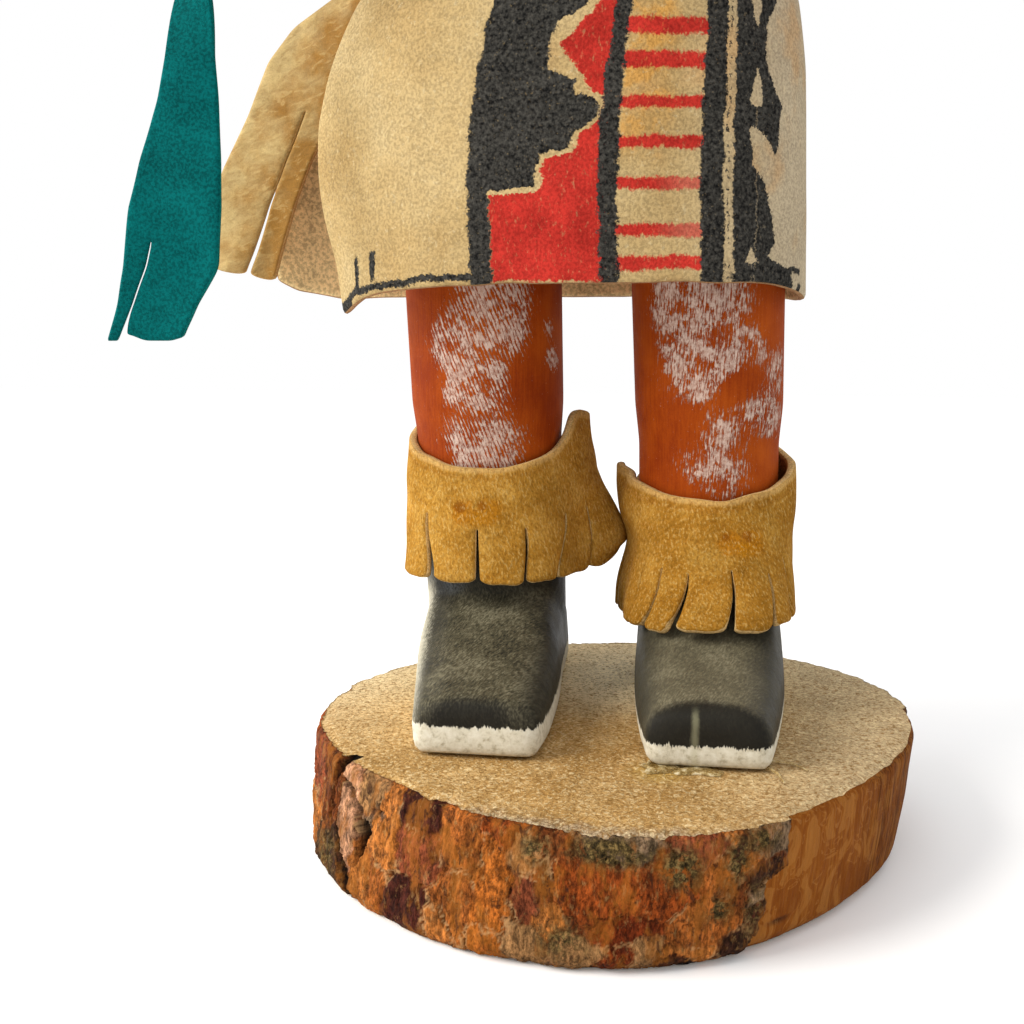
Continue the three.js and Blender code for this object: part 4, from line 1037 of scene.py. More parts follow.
MAROON, PURPLE, DARK = (0.145, 0.036, 0.014), (0.040, 0.010, 0.006), (0.028, 0.011, 0.006)


GREY, TAN_FLAKE, PINK = (0.110, 0.070, 0.040), (0.190, 0.095, 0.036), (0.300, 0.150, 0.080)

# Bark plates of the front: direction (degrees), height, half width, half height, colour, raised
PLATES = [
    (-153, 13.0, 2.4, 5.4, BROWN, 0.25), (-149.5, 3.2, 4.2, 4.6, DARK, 0.30),
    (-143.6, 9.6, 2.1, 5.6, PINK, 0.65), (-138.6, 16.2, 2.0, 2.0, TAN_FLAKE, 0.35),
    (-137.4, 12.6, 1.4, 1.8, GREY, 0.40), (-138.5, 4.0, 1.8, 3.6, ORANGE, 0.40),
    (-133.0, 12.5, 1.9, 5.6, ORANGE, 0.50), (-133.4, 4.6, 2.0, 3.4, OCHRE, 0.45),
    (-125.5, 15.6, 3.9, 2.4, PURPLE, 0.25), (-124.6, 10.6, 3.9, 3.2, MAROON, 0.35),
    (-125.5, 4.6, 3.8, 3.2, PURPLE, 0.25), (-118.5, 3.0, 1.6, 2.6, ORANGE, 0.30),
    (-115.5, 14.0, 2.9, 4.2, OCHRE, 0.35), (-109.2, 8.6, 2.5, 5.4, AMBER, 0.40),
    (-115.3, 6.2, 2.3, 3.9, OCHRE, 0.30), (-110.2, 2.0, 2.6, 1.8, AMBER, 0.20),
    (-108.5, 16.2, 2.8, 1.8, RED, 0.20), (-103.2, 9.6, 1.4, 2.6, MAROON, 0.30),
    (-102.6, 14.0, 2.2, 1.8, TAN_FLAKE, 0.30), (-98.6, 6.4, 2.6, 2.2, ORANGE, 0.25),
    (-103.5, 3.0, 2.6, 2.4, TAN_FLAKE, 0.20), (-99.0, 11.6, 1.6, 2.2, BROWN, 0.20),
    (-96.0, 16.0, 3.0, 1.6, BROWN, 0.15), (-85.4, 10.4, 8.2, 3.6, RED, 0.40),
    (-87.0, 5.6, 4.4, 2.0, DEEP, 0.20), (-93.5, 3.2, 3.2, 2.2, TAN_FLAKE, 0.15),
    (-86.5, 16.4, 4.4, 1.7, GREY, 0.10), (-81.6, 3.0, 1.3, 2.4, TAN_FLAKE, 0.35),
    (-86.5, 1.6, 2.6, 1.4, DEEP, 0.15), (-72.6, 6.6, 4.2, 2.4, OCHRE, 0.30),
    (-72.6, 1.8, 2.1, 1.7, ORANGE, 0.25), (-74.9, 0.5, 1.3, 0.8, DARK, 0.0),
    (-73.0, 16.6, 3.2, 1.8, MAROON, 0.20), (-69.0, 16.4, 1.1, 1.9, ORANGE, 0.25),
    (-66.9, 15.2, 1.2, 2.1, DARK, 0.05), (-61.4, 16.2, 3.4, 2.2, GREY, 0.20),
    (-64.8, 13.4, 1.1, 1.3, ORANGE, 0.40), (-61.6, 11.6, 2.0, 2.0, DARK, 0.15),
    (-62.7, 8.4, 1.3, 1.4, GREY, 0.25), (-61.6, 4.2, 1.9, 2.0, PURPLE, 0.20),
    (-65.6, 2.0, 2.6, 1.9, DARK, 0.20), (-70.2, 11.8, 2.4, 2.4, OCHRE, 0.25),
    (-67.0, 9.6, 1.4, 2.2, BROWN, 0.15), (-75.2, 12.6, 1.3, 1.5, DARK, 0.05),
]


# Deep fissures at the right hand's side: direction, height and half width along each
FISSURES = [
    [(-148.6, 18.3, 0.95), (-149.4, 16.4, 0.75), (-150.6, 13.0, 0.50), (-150.6, 9.2, 0.30)],
    [(-147.6, 15.2, 0.20), (-144.6, 14.4, 0.45), (-141.0, 12.2, 0.60), (-138.6, 10.2, 0.95),
     (-138.4, 8.4, 0.80), (-140.2, 5.4, 0.40)],
    [(-147.8, 8.2, 0.40), (-145.2, 5.2, 0.65), (-142.0, 0.8, 0.80)],
]


def bark_plates():
    """The front's plates, and plainer ones on round the back: sizes, then colours"""
    chance = np.random.default_rng(11)
    rows = [row[:4] + (row[5],) for row in PLATES]
    paints = [row[4] for row in PLATES]
    kinds = [ORANGE, OCHRE, BROWN, MAROON, RED, PURPLE, TAN_FLAKE, GREY]
    for step in range(19):
        for level in (4.6, 13.2):
            rows.append((24 + step * 9.6 + chance.uniform(-2.5, 2.5),
                         level + chance.uniform(-1.6, 1.6), chance.uniform(2.6, 4.6),
                         chance.uniform(3.4, 5.6), chance.uniform(0.1, 0.4)))
            paints.append(kinds[chance.integers(len(kinds))])
    return np.array(rows), np.array(paints)


def fissure_depth(degrees, z):
    """1 inside a fissure, 0 outside"""
    deep = np.zeros(degrees.shape)
    arc = math.radians(1) * BASE_R
    for line in FISSURES:
        for (d0, z0, w0), (d1, z1, w1) in zip(line, line[1:]):
            along = np.array([(d1 - d0) * arc, z1 - z0])
            from_x, from_z = (degrees - d0) * arc, z - z0
            t = np.clip((from_x * along[0] + from_z * along[1]) / (along @ along), 0, 1)
            far = np.hypot(from_x - t * along[0], from_z - t * along[1])
            deep = np.maximum(deep, smooth((lerp(w0, w1, t) - far) / 0.3 + 0.5))
    return deep


def bark_relief(a, z):
    """Height of the bark over the slice's round, with its colour, marks and bare wood"""
    around = np.stack([np.cos(a) * BASE_R, np.sin(a) * BASE_R, z], -1)
    drift = 1.3 * rough(around, 5, 1, 3) + 0.60 * rough(around, 1.3, 5, 3)
    rise = 1.3 * rough(around, 4.5, 3, 3) + 0.60 * rough(around, 1.3, 8, 3)
    plates, paints = bark_plates()
    degrees = (np.degrees(a) + 180) % 360 - 180
    nearest = np.full(a.shape, 1e9)
    second = np.full(a.shape, 1e9)
    which = np.zeros(a.shape, int)
    for k, (direction, level, wide, high, _) in enumerate(plates):
        turn = (degrees - direction + 180) % 360 - 180
        far = np.hypot((np.radians(turn) * BASE_R + drift) / wide, (z + rise - level) / high)
        closer = far < nearest
        second = np.where(closer, nearest, np.minimum(second, far))
        which = np.where(closer, k, which)
        nearest = np.where(closer, far, nearest)
    raised = plates[which, 4]
    edge = (second - nearest) * (plates[which, 2] + plates[which, 3]) / 2
    behind = degrees > 20
    split = 0.45 * (rough(around, 12, 21, 2) > 0.15) * behind
    width = 0.20 + 0.9 * split + 0.14 * rough(around, 3, 13, 2)
    open_here = np.clip(-0.05 + 1.2 * rough(around, 4, 17, 2) + split, 0, 1)
    crack = (1 - smooth(edge / np.maximum(0.10, width))) * open_here
    fissure = fissure_depth(degrees + 0.8 * rough(around, 1.6, 27, 3), z)
    crack = np.maximum(crack, fissure)
    lip = bump(edge, 0.45, 0.35) * smooth(raised * 4) * smooth(rough(around, 3, 37, 2) * 3)
    # ridges and flakes that run up and down, across the plates' own edges
    tall = around * [1, 1, 0.38]
    ridges = rough(tall, 2.6, 45, 4)
    flakes = np.abs(rough(tall, 1.5, 47, 4))
    height = (0.7 * raised * (smooth(edge / 1.2) - 0.5) + 0.12 * lip - 0.45 * crack
              - 1.6 * fissure + 0.34 * ridges - 0.26 * np.exp(-(flakes / 0.10) ** 2)
              + 0.12 * rough(around, 0.9, 41, 3))
    paint = paints[which] * (1 + 0.30 * rough(around, 2.4, 43, 4))[..., None]
    smudge = smooth(0.9 - edge / 1.5) * 0.55
    paint = lerp(paint, np.array(BROWN) * 1.25, smudge[..., None])
    lichen = np.maximum.reduce([
        bump(degrees, -88, 11) * bump(z, 15.8, 3.0) * 1.6,
        bump(degrees, -76.5, 5.5) * bump(z, 13.8, 4.0) * 1.6,
        bump(degrees, -69.5, 4.0) * bump(z, 7.5, 3.0) * 1.2,
        bump(degrees, -61.7, 6) * bump(z, 16.2, 3.0) * 1.2,
        bump(degrees, -66.5, 3.6) * bump(z, 14.0, 5.0) * 1.4,
        bump(degrees, -101, 4.4) * bump(z, 15.0, 3.0) * 1.2,
        bump(degrees, -96, 7) * bump(z, 4.0, 4) * 1.0,
        bump(degrees, -62.5, 3.5) * bump(z, 6.0, 7) * 0.9,
        0.9 * bump(degrees, -151, 8) * bump(z, 3.4, 6),
        0.9 * smooth(rough(around, 9, 51, 2) * 2 - 0.4) * behind])
    char = bump(degrees, -74.6, 3.4) * bump(z, 0.2, 1.6) * 1.6
    crack = np.clip(crack + char * (rough(around, 1.4, 61, 3) > -0.1), 0, 1)
    start = np.interp(z, BARE[:, 0], BARE[:, 1])
    arc = math.radians(1) * BASE_R
    into = np.minimum(degrees - start, BARE[0, 2] - degrees) * arc
    into = into + 0.7 * rough(around, 2.5, 71, 4)
    bare = smooth(into / 0.35 + 0.5)
    line = bump(degrees + 0.8 * rough(around, 2, 73, 2), -55.5, 5) * bump(z, 3.4, 0.7)
    wood_height = -0.62 + 0.10 * rough(around * [1, 1, 0.25], 2.2, 81, 3)
    height = lerp(height, wood_height, bare) - 0.25 * line * bare
    marks = np.stack([np.clip(crack * (1 - bare), 0, 1), np.clip(lichen, 0, 1) * (1 - bare),
                      lip * (1 - crack)], -1)
    return height, np.clip(paint, 0, 1), marks, bare, line * bare


def log_slice():
    """Bark round the side, a fuzzy sawn face on top; closer points on the side that shows"""
    share = np.linspace(0, 1, AROUND, endpoint=False)
    a = np.radians(np.interp(share, [0, 0.04, 0.54, 1], [-180, -165, -50, 180]))
    side = np.linspace(0, 1, ROWS)
    side_z = BASE_H * (side + 0.02 * np.sin(2 * math.pi * side))
    rings = [(near, 0.0, 0) for near in np.linspace(0.05, 0.99, 5)]
    rings += [(1.0, z, 1) for z in side_z]
    inward = 1 - np.linspace(0.006, 1, 48) ** 1.6 * 0.985
    rings += [(near, BASE_H, 2) for near in inward]
    points, plate, marked, bare_share, rim = [], [], [], [], []
    for near, z, part in rings:
        height, paint, marks, bare, line = bark_relief(a, np.full(a.shape, z))
        ragged = rough(xyz(np.cos(a) * BASE_R, np.sin(a) * BASE_R, 0 * a), 2.2, 95, 4)
        ragged = ragged * np.maximum(bump(np.degrees(a), -95, 60), 0.30)
        worn_off = ((0.34 + 0.35 * ragged) * smooth((z - BASE_H + 1.3) / 1.3)
                    + 0.3 * smooth((0.9 - z) / 0.9))
        radius = log_radius(a, z) - 0.15 + (height - worn_off)
        x, y = radius * np.cos(a), radius * np.sin(a)
        if part != 1:
            x, y = x * near, y * near
        level = np.full(a.shape, z)
        if part == 2:
            inside = (1 - near) * BASE_R
            flat = xyz(x, y, level)
            level = (BASE_H - 0.14 + 0.08 * rough(flat, 1.3, 91, 3) + 0.05 * lumps(flat, 8, 93)
                     - (0.25 + 0.45 * np.abs(ragged)) * smooth(1 - inside / 1.6))
            level = np.minimum(level, BASE_H - 0.02)
        elif part == 1 and z > BASE_H - 0.9:
            level = level - (0.30 + 0.45 * np.abs(ragged)) * smooth((z - BASE_H + 0.9) / 0.9)
        points.append(xyz(x, y, level))
        plate.append(lerp(paint, np.array(DARK), line[..., None]))
        marked.append(marks)
        bare_share.append(bare * (1 - 0.8 * line))
        degrees = np.degrees(a)
        fade = math.exp(-((1 - near) * BASE_R) / 3.2) if part == 2 else 1.0
        front = np.maximum(bump(degrees, -95, 60), 0.15)
        rim.append(fade * front * (1 - 0.4 * bare))
    part = np.array([r[2] for r in rings])
    of_row = np.where((part[:-1] == 1) & (part[1:] == 1), 0, 1)
    face_finish = np.concatenate([np.repeat(of_row, AROUND), np.ones(2 * AROUND, int)])
    obj = loft("log_slice", points, [bark(), sawn_wood()], face_finish)
    ends = np.zeros((2, 3))
    paint_points(obj, "plate", np.vstack([np.concatenate(plate), ends]))
    paint_points(obj, "marks", np.vstack([np.concatenate(marked), ends]))
    for name, value in (("stripped", bare_share), ("rim", rim)):
        layer = obj.data.attributes.new(name, "FLOAT", "POINT")
        layer.data.foreach_set("value", np.append(np.concatenate(value), [0, 0]).astype(
            np.float32))
    return worn(obj, "base", "log")



def worn(obj, node, slot):
    """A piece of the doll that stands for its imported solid"""
    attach(obj, "root")
    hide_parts(node)
    return obj


def boot_rings(side, half_heel, half_toe, toe_in):
    """The moccasin's sections from heel to toe, softened between the solid's own"""
    heel, toe = 14.5, -41.2
    profile = np.array([
        [toe, half_toe - 1.5, 6.4], [toe + 1.0, half_toe - 0.1, 8.0],
        [-32, lerp(half_toe, half_heel, 0.4), 9.6], [-24, lerp(half_toe, half_heel, 0.7), 11.2],
        [-17, lerp(half_toe, half_heel, 0.9), 13.4], [-11, half_heel - 0.2, 15.4],
        [-4, half_heel, 17], [7, half_heel - 0.2, 16], [11, half_heel - 2.2, 11],
        [heel, half_heel - 5, 7]])
    shape = np.array([
        [-0.94, 0], [0.94, 0], [1, 0.12], [1, 0.3], [0.98, 0.62], [0.86, 0.86], [0.5, 0.98],
        [0, 1], [-0.5, 0.98], [-0.86, 0.86], [-0.98, 0.62], [-1, 0.3], [-1, 0.12]])
    fine = np.linspace(0, 1, 40)
    rows = np.stack([np.interp(fine * (len(profile) - 1), np.arange(len(profile)), profile[:, k])
                     for k in range(3)], -1)
    rings = []
    for y, half, high in rows:
        x = side * (ANKLE_APART - toe_in * smooth(y / toe))
        outline = shape.copy()
        outline[:, 1] = np.where(np.isclose(shape[:, 1], 0.3), SOLE_H / high, shape[:, 1])
        rings.append(xyz(x + outline[:, 0] * half, y, GLUE_GAP + outline[:, 1] * high))
    return np.array(rings)[::-1]


def leg_rings(side, leg_r):
    x, ankle = side * LEG_APART, side * ANKLE_APART
    thin = leg_r - ANKLE_IN
    rows = [(ankle, 8, thin - 0.3), (ankle, BOOT_TOP_Z, thin),
            (lerp(ankle, x, 0.8), KNEE_Z - 4, thin), (x, KNEE_Z + 2, leg_r - 0.3),
            (x, HEM_Z + 4, leg_r), (x * 0.96, LEG_TOP_Z, leg_r - 1)]
    return np.array([oval_ring(cx, 0, z, r, r, 64) for cx, z, r in rows])


def carved(name, shells, finishes, grain_mm, rounds=6):
    """Shells joined into one carving: remeshed together and rubbed smooth"""
    parts = []
    for k, rings in enumerate(shells):
        parts.append(loft(f"{name}_{k}", stand(rings), finishes))
    whole = parts[0]
    with bpy.context.temp_override(active_object=whole, selected_editable_objects=parts,
                                   object=whole, selected_objects=parts):
        bpy.ops.object.join()
    whole.name = name
    block = whole.modifiers.new("one block", "REMESH")
    block.mode = "VOXEL"
    block.voxel_size = grain_mm * 0.001
    block.use_smooth_shade = True
    rub = whole.modifiers.new("rubbed", "SMOOTH")
    rub.factor = 0.5
    rub.iterations = rounds
    settle(whole)
    whole.data.materials.clear()
    for finish in finishes:
        whole.data.materials.append(finish)
    whole.data.polygons.foreach_set("use_smooth", [True] * len(whole.data.polygons))
    return whole


def carved_body(finish):
    trunk = smooth_rings(BODY, lambda row: oval_ring(0, 0, row[0], row[1], row[2], 96, BODY_POWER),
                         len(BODY))
    body = carved("carved_figure", [
        trunk, leg_rings(-1, RIGHT_LEG_R), leg_rings(1, LEFT_LEG_R),
        boot_rings(-1, 11.6, 9.0, 2.6), boot_rings(1, 11.7, 8.6, 0.8)], [finish], 0.8, 5)
    return worn(body, "carved_body", "painted_wood")


def arms(finish):
    path = np.array([
        [-0.6, 0, 7.6, 3], [0, 0, 5.6, 6], [0, 0, 0, 7.9], [2.4, 0.6, -9, 7.7],
        [4.6, 1.4, -18, 7.1], [6.1, 0.4, -24.5, 7], [7.4, -4.4, -28.4, 6.8],
        [9.2, -11, -29, 6.2], [11.2, -18, -28.7, WRIST_R], [13, -24, -28.4, WRIST_R],
        [13.9, -27.2, -28, 6.4], [14.9, -30.6, -27.6, 7], [15.9, -34, -27.4, 5.8],
        [16.4, -35.8, -27.2, 3]])
    for side, node in ((-1, "right_arm"), (1, "left_arm")):
        stations = path + [ARM_OUT, 0, SHOULDER_Z, 0]
        stations[:, 0] *= side
        rings = limb_rings(stations, 40, 4)
        # the shoulder is hollowed to sit against the trunk
        x, y, z = rings[..., 0], rings[..., 1], rings[..., 2]
        wide = np.interp(z, BODY[:, 0], BODY[:, 1]) + GLUE_GAP + 0.05
        deep = np.interp(z, BODY[:, 0], BODY[:, 2]) + GLUE_GAP + 0.05
        far = (np.abs(x / wide) ** BODY_POWER + np.abs(y / deep) ** BODY_POWER) ** (1 / BODY_POWER)
        pushed = np.where(far < 1, np.sign(x) * wide * np.clip(
            1 - np.abs(y / deep) ** BODY_POWER, 0, 1) ** (1 / BODY_POWER), x)
        arm = loft(f"{node}_carving", stand(xyz(pushed, y, z)), [finish])
        worn(arm, node, "painted_wood")


def mask(finish):
    z = HEAD_BASE_Z
    table = [[z, HEAD_R - 2.2], [z + 1.6, HEAD_R - 0.6], [z + 8, HEAD_R], [z + 22, HEAD_R - 0.3],
             [z + 29, HEAD_R - 2], [z + 34, HEAD_R - 6.4], [z + HEAD_H - 1, HEAD_R - 11.6],
             [z + HEAD_H, 3]]
    shell = smooth_rings(table, lambda row: oval_ring(0, 0, min(row[0], z + HEAD_H), row[1],
                                                      row[1], 72), 60)
    snout = limb_rings([[0, -HEAD_R + 5, z + 10, 4.6], [0, -HEAD_R - 5, z + 9.6, 5],
                        [0, -HEAD_R - 8, z + 9.4, 5.6], [0, -HEAD_R - 8.8, z + 9.4, 4.6]], 40)
    ears = [limb_rings([[s * (HEAD_R - 4), 0, z + 18, 5], [s * (HEAD_R + 2.2), 0, z + 18, 5],
                        [s * (HEAD_R + 3.1), 0, z + 18, 4]], 40) for s in (-1, 1)]
    head = carved("carved_mask", [shell, snout, *ears], [finish], 0.6, 3)
    return worn(head, "mask_head", "mask_paint")


def kilt(finishes):
    u = np.linspace(0.001, 0.999, 150)
    v = np.linspace(0, 1, 46)
    u, v = np.meshgrid(u, v)
    points = kilt_surface(u, v)
    du = np.gradient(points, axis=1)
    dv = np.gradient(points, axis=0)
    outward = unit(np.cross(du, dv))
    free = smooth((0.75 - v) / 0.4)
    give = 0.30 * lumps(points, 15, 2) + 0.12 * lumps(points, 6, 4)
    points = points + outward * (give * free)[..., None]
    points[..., 2] += 0.22 * lumps(points * [1, 1, 0], 5, 6) * smooth((0.12 - v) / 0.12)
    # the front edge bulges out half way down, and its corner hangs a little
    front_edge = smooth(1 - u / 0.085)
    bulge = np.interp(v, [0, 0.11, 0.22, 0.30, 0.42, 0.51, 0.62, 0.80, 1],
                      [-0.3, 0.3, 1.9, 2.6, 2.8, 2.4, 1.8, 0.6, 0])
    points[..., 0] -= front_edge * bulge
    points[..., 2] -= 0.5 * smooth(1 - u / 0.05) * smooth((0.10 - v) / 0.10)
    obj = leather("suede_kilt", [(stand(points), np.stack([u, v], -1))], SUEDE, finishes)
    worn(obj, "kilt", "cream_suede")
    return obj


def belt(finish):
    a = np.linspace(0, 2 * math.pi, 121)
    v = np.linspace(-0.5, 0.5, 7)
    a, v = np.meshgrid(a, v)
    out = 2 * WORN_GAP + SUEDE + BELT_T / 2 - 0.15 * (2 * np.abs(v)) ** 4
    points = round_trunk(a, WAIST_Z + v * (BELT_H - 0.1), out)
    obj = leather("leather_belt", [(stand(points), np.stack([a, v], -1))], BELT_T - 0.1,
                  [finish, finish, finish])
    return worn(obj, "belt", "brown_leather")


def armbands(finish):
    for side, node in ((-1, "right_armband"), (1, "left_armband")):
        a, v = np.meshgrid(np.linspace(0, 2 * math.pi, 73), np.linspace(-3, 3, 7))
        r = 7.6 + WORN_GAP + 0.7 - 0.12 * np.abs(v / 3) ** 3
        ring = xyz(r * np.cos(a), r * np.sin(a), v)
        turn, nod = -side * 0.26, 0.09
        x = ring[..., 0] * math.cos(turn) + ring[..., 2] * math.sin(turn)
        z = -ring[..., 0] * math.sin(turn) + ring[..., 2] * math.cos(turn)
        y = ring[..., 1] * math.cos(nod) - z * math.sin(nod)
        z = ring[..., 1] * math.sin(nod) + z * math.cos(nod)
        points = xyz(x + side * (ARM_OUT + 3.5), y + 1, z + SHOULDER_Z - 13.5)
        obj = leather(f"{node}_leather", [(stand(points), np.stack([a, v], -1))], 1.3,
                      [finish, finish, finish])
        worn(obj, node, "brown_leather")


def hip_sash(finishes):
    """Tucked under the belt at the right hip, twisting to face forward, with two tails"""
    loose = CLING_Z + 0.5

    def tucked(z):
        return float(round_trunk(math.pi, z, WORN_GAP + SUEDE / 2)[0])

    inner = np.array([[SASH_LOW_Z, -54.3, 3], [79, -49.3, 2.8], [85, -46.3, 2.4], [100, -37, 1],
                      [112, -29.8, -1.4], [loose, tucked(loose), -2.4],
                      [WAIST_Z, tucked(WAIST_Z), -2.6], [SASH_TOP_Z, tucked(SASH_TOP_Z), -2.6]])
    outer = np.array([[SASH_LOW_Z, -65.6, 4], [78, -65.2, 4], [84, -62.5, 4], [93, -57.2, 3.9],
                      [101, -53.2, 3.7], [106, -48.5, 3.4], [110, -41.5, 3], [113, -35, 2.5],
                      [loose, tucked(loose), 2.4], [WAIST_Z, tucked(WAIST_Z), 2.6],
                      [SASH_TOP_Z, tucked(SASH_TOP_Z), 2.6]])
    z = np.linspace(SASH_LOW_Z, SASH_TOP_Z, 72)
    v = (z - SASH_LOW_Z) / (SASH_TOP_Z - SASH_LOW_Z)
    slit_top = 0.46
    above = np.clip(v / slit_top, 0, 1)
    gap = np.where(v < slit_top, 0.003 + 0.022 * smooth(1 - above / 0.55), 0)
    line = lerp(0.59, 0.66, above) + 0.09 * np.sin(math.pi * above)
    grids = []
    for tail in (0, 1):
        share = np.linspace(0, 1, 9)[None, :]
        u = share * (line - gap)[:, None] if tail == 0 else (
            (line + gap)[:, None] + share * (1 - line - gap)[:, None])
        zz = np.repeat(z[:, None], 9, 1)
        vv = np.repeat(v[:, None], 9, 1)
        x = lerp(np.interp(zz, outer[:, 0], outer[:, 1]), np.interp(zz, inner[:, 0], inner[:, 1]), u)
        y = lerp(np.interp(zz, outer[:, 0], outer[:, 2]), np.interp(zz, inner[:, 0], inner[:, 2]), u)
        low = smooth((0.44 - vv) / 0.44)
        local = np.abs(2 * share - 1) ** 3
        up = (0.5 * local + (1.1 * (1 - share) if tail == 0 else 0.9 * (1 - share) - 1.0)) * smooth(
            1 - vv / 0.08)
        y = y + low * (0.5 * (2 * share - 1) ** 2 - 0.9 * share) * (1 if tail == 0 else -0.8)
        y = y + 0.30 * lumps(xyz(x, y, zz), 7, 12) * smooth((0.85 - vv) / 0.4)
        grids.append((stand(xyz(x, y, zz + up)), np.stack([u, vv], -1)))
    obj = leather("leather_hip_sash", grids, SASH_SUEDE, finishes)
    worn(obj, "hip_sash", "sash_leather")
    return obj


def streamer(finishes):
    """Wrapped round the right wrist, then hanging and turning to face forward"""
    wrist = np.array([-(ARM_OUT + 12.1), -21, SHOULDER_Z - 28.55])
    wrap_r = WRIST_R + WORN_GAP + SASH_SUEDE / 2
    along = unit(np.array([-1.8, -6, 0.3]))
    side = unit(np.cross([0, 0, 1.0], along))
    up = np.cross(along, side)
    start = wrist - side * wrap_r
    hang = np.array([
        [0, start[0], start[1], 2.5], [0.12, start[0] - 0.4, start[1] + 0.2, 2.6],
        [0.28, start[0] - 0.2, -25, 2.8], [0.444, -53.5, -28.6, 3.5], [0.53, -54.2, -29, 4.3],
        [0.644, -55.9, -29.2, 5.9], [0.735, -57.1, -29.2, 6.7], [0.853, -58.35, -29, 6.85],
        [0.925, -60.85, -28.8, 5.95], [1, -63.3, -28.6, 5.6]])
    turns = np.linspace(0, 1, 36)
    falls = np.linspace(0, 1, 80)[1:]
    rows = len(turns) + len(falls)
    # where the thin tail ends and the wide one starts, in shares of the width
    parting = np.array([[0.80, 0.262, 0.262], [0.81, 0.258, 0.263], [0.92, 0.180, 0.190],
                        [0.943, 0.162, 0.172], [0.97, 0.148, 0.195], [1, 0.135, 0.245]])
    grids = []
    for tail in (0, 1):
        share = np.linspace(0, 1, 5 if tail == 0 else 13)
        points, uvs = [], []
        for k in range(rows):
            fall = 0 if k < len(turns) else falls[k - len(turns)]
            thin_end = np.interp(fall, parting[:, 0], parting[:, 1])
            wide_start = np.interp(fall, parting[:, 0], parting[:, 2])
            u = share * thin_end if tail == 0 else lerp(wide_start, 1, share)
            across = 2 * u - 1
            if k < len(turns):
                a = math.pi - math.radians(300) * (1 - turns[k])
                p = (wrist + side * wrap_r * math.cos(a) + up * wrap_r * math.sin(a)
                     + across[:, None] * 2.5 * along)
            else:
                way = unit(lerp(along, np.array([1, 0.1, 0]), smooth((fall - 0.1) / 0.35)))
                width = np.interp(fall, hang[:, 0], hang[:, 3])
                middle = np.array([np.interp(fall, hang[:, 0], hang[:, 1]),
                                   np.interp(fall, hang[:, 0], hang[:, 2]),
                                   lerp(start[2], STREAMER_LOW_Z, fall)])
                p = middle + across[:, None] * width * way
                curl = 0.7 * math.sin(fall * 5) * across ** 2 + 0.35 * lumps(p, 6, 15)
                p[:, 1] += curl * smooth((fall - 0.3) / 0.3)
                if tail == 1:
                    corners = 0.5 * smooth((across - 0.6) / 0.4) + 0.9 * smooth(-across / 0.5)
                    p[:, 2] += corners * smooth((fall - 0.94) / 0.06)
            points.append(p)
            uvs.append(np.stack([u, np.full(u.shape, 1 - k / rows)], -1))
        grids.append((stand(np.array(points)), np.array(uvs)))
    obj = leather("suede_streamer", grids, SASH_SUEDE, finishes)
    worn(obj, "streamer", "teal_suede")
    return obj


# Fringe slits, in shares of the strip's length: where at the foot, where at the head, how open
RIGHT_SLITS = [(0.172, 0.134, 0.0045, 0.46), (0.229, 0.218, 0.001, 0.38),
               (0.296, 0.297, 0.0022, 0.44), (0.367, 0.388, 0.0035, 0.52),
               (0.450, 0.458, 0.004, 0.46), (0.528, 0.532, 0.003, 0.40),
               (0.604, 0.606, 0.004, 0.5), (0.682, 0.680, 0.003, 0.45), (0.760, 0.756, 0.004, 0.5),
               (0.838, 0.834, 0.003, 0.42), (0.912, 0.908, 0.004, 0.5), (0.08, 0.075, 0.002, 0.34)]
LEFT_SLITS = [(0.036, 0.044, 0.002, 0.3), (0.088, 0.100, 0.003, 0.36), (0.134, 0.148, 0.003, 0.36),
              (0.176, 0.190, 0.0015, 0.30), (0.213, 0.226, 0.0030, 0.34),
              (0.249, 0.264, 0.0045, 0.36), (0.308, 0.3215, 0.0042, 0.34),
              (0.360, 0.376, 0.0012, 0.38), (0.404, 0.418, 0.002, 0.46),
              (0.470, 0.480, 0.004, 0.42), (0.545, 0.550, 0.003, 0.38), (0.620, 0.620, 0.004, 0.42),
              (0.700, 0.700, 0.003, 0.38), (0.780, 0.780, 0.004, 0.42), (0.860, 0.858, 0.003, 0.38),
              (0.925, 0.925, 0.004, 0.42)]


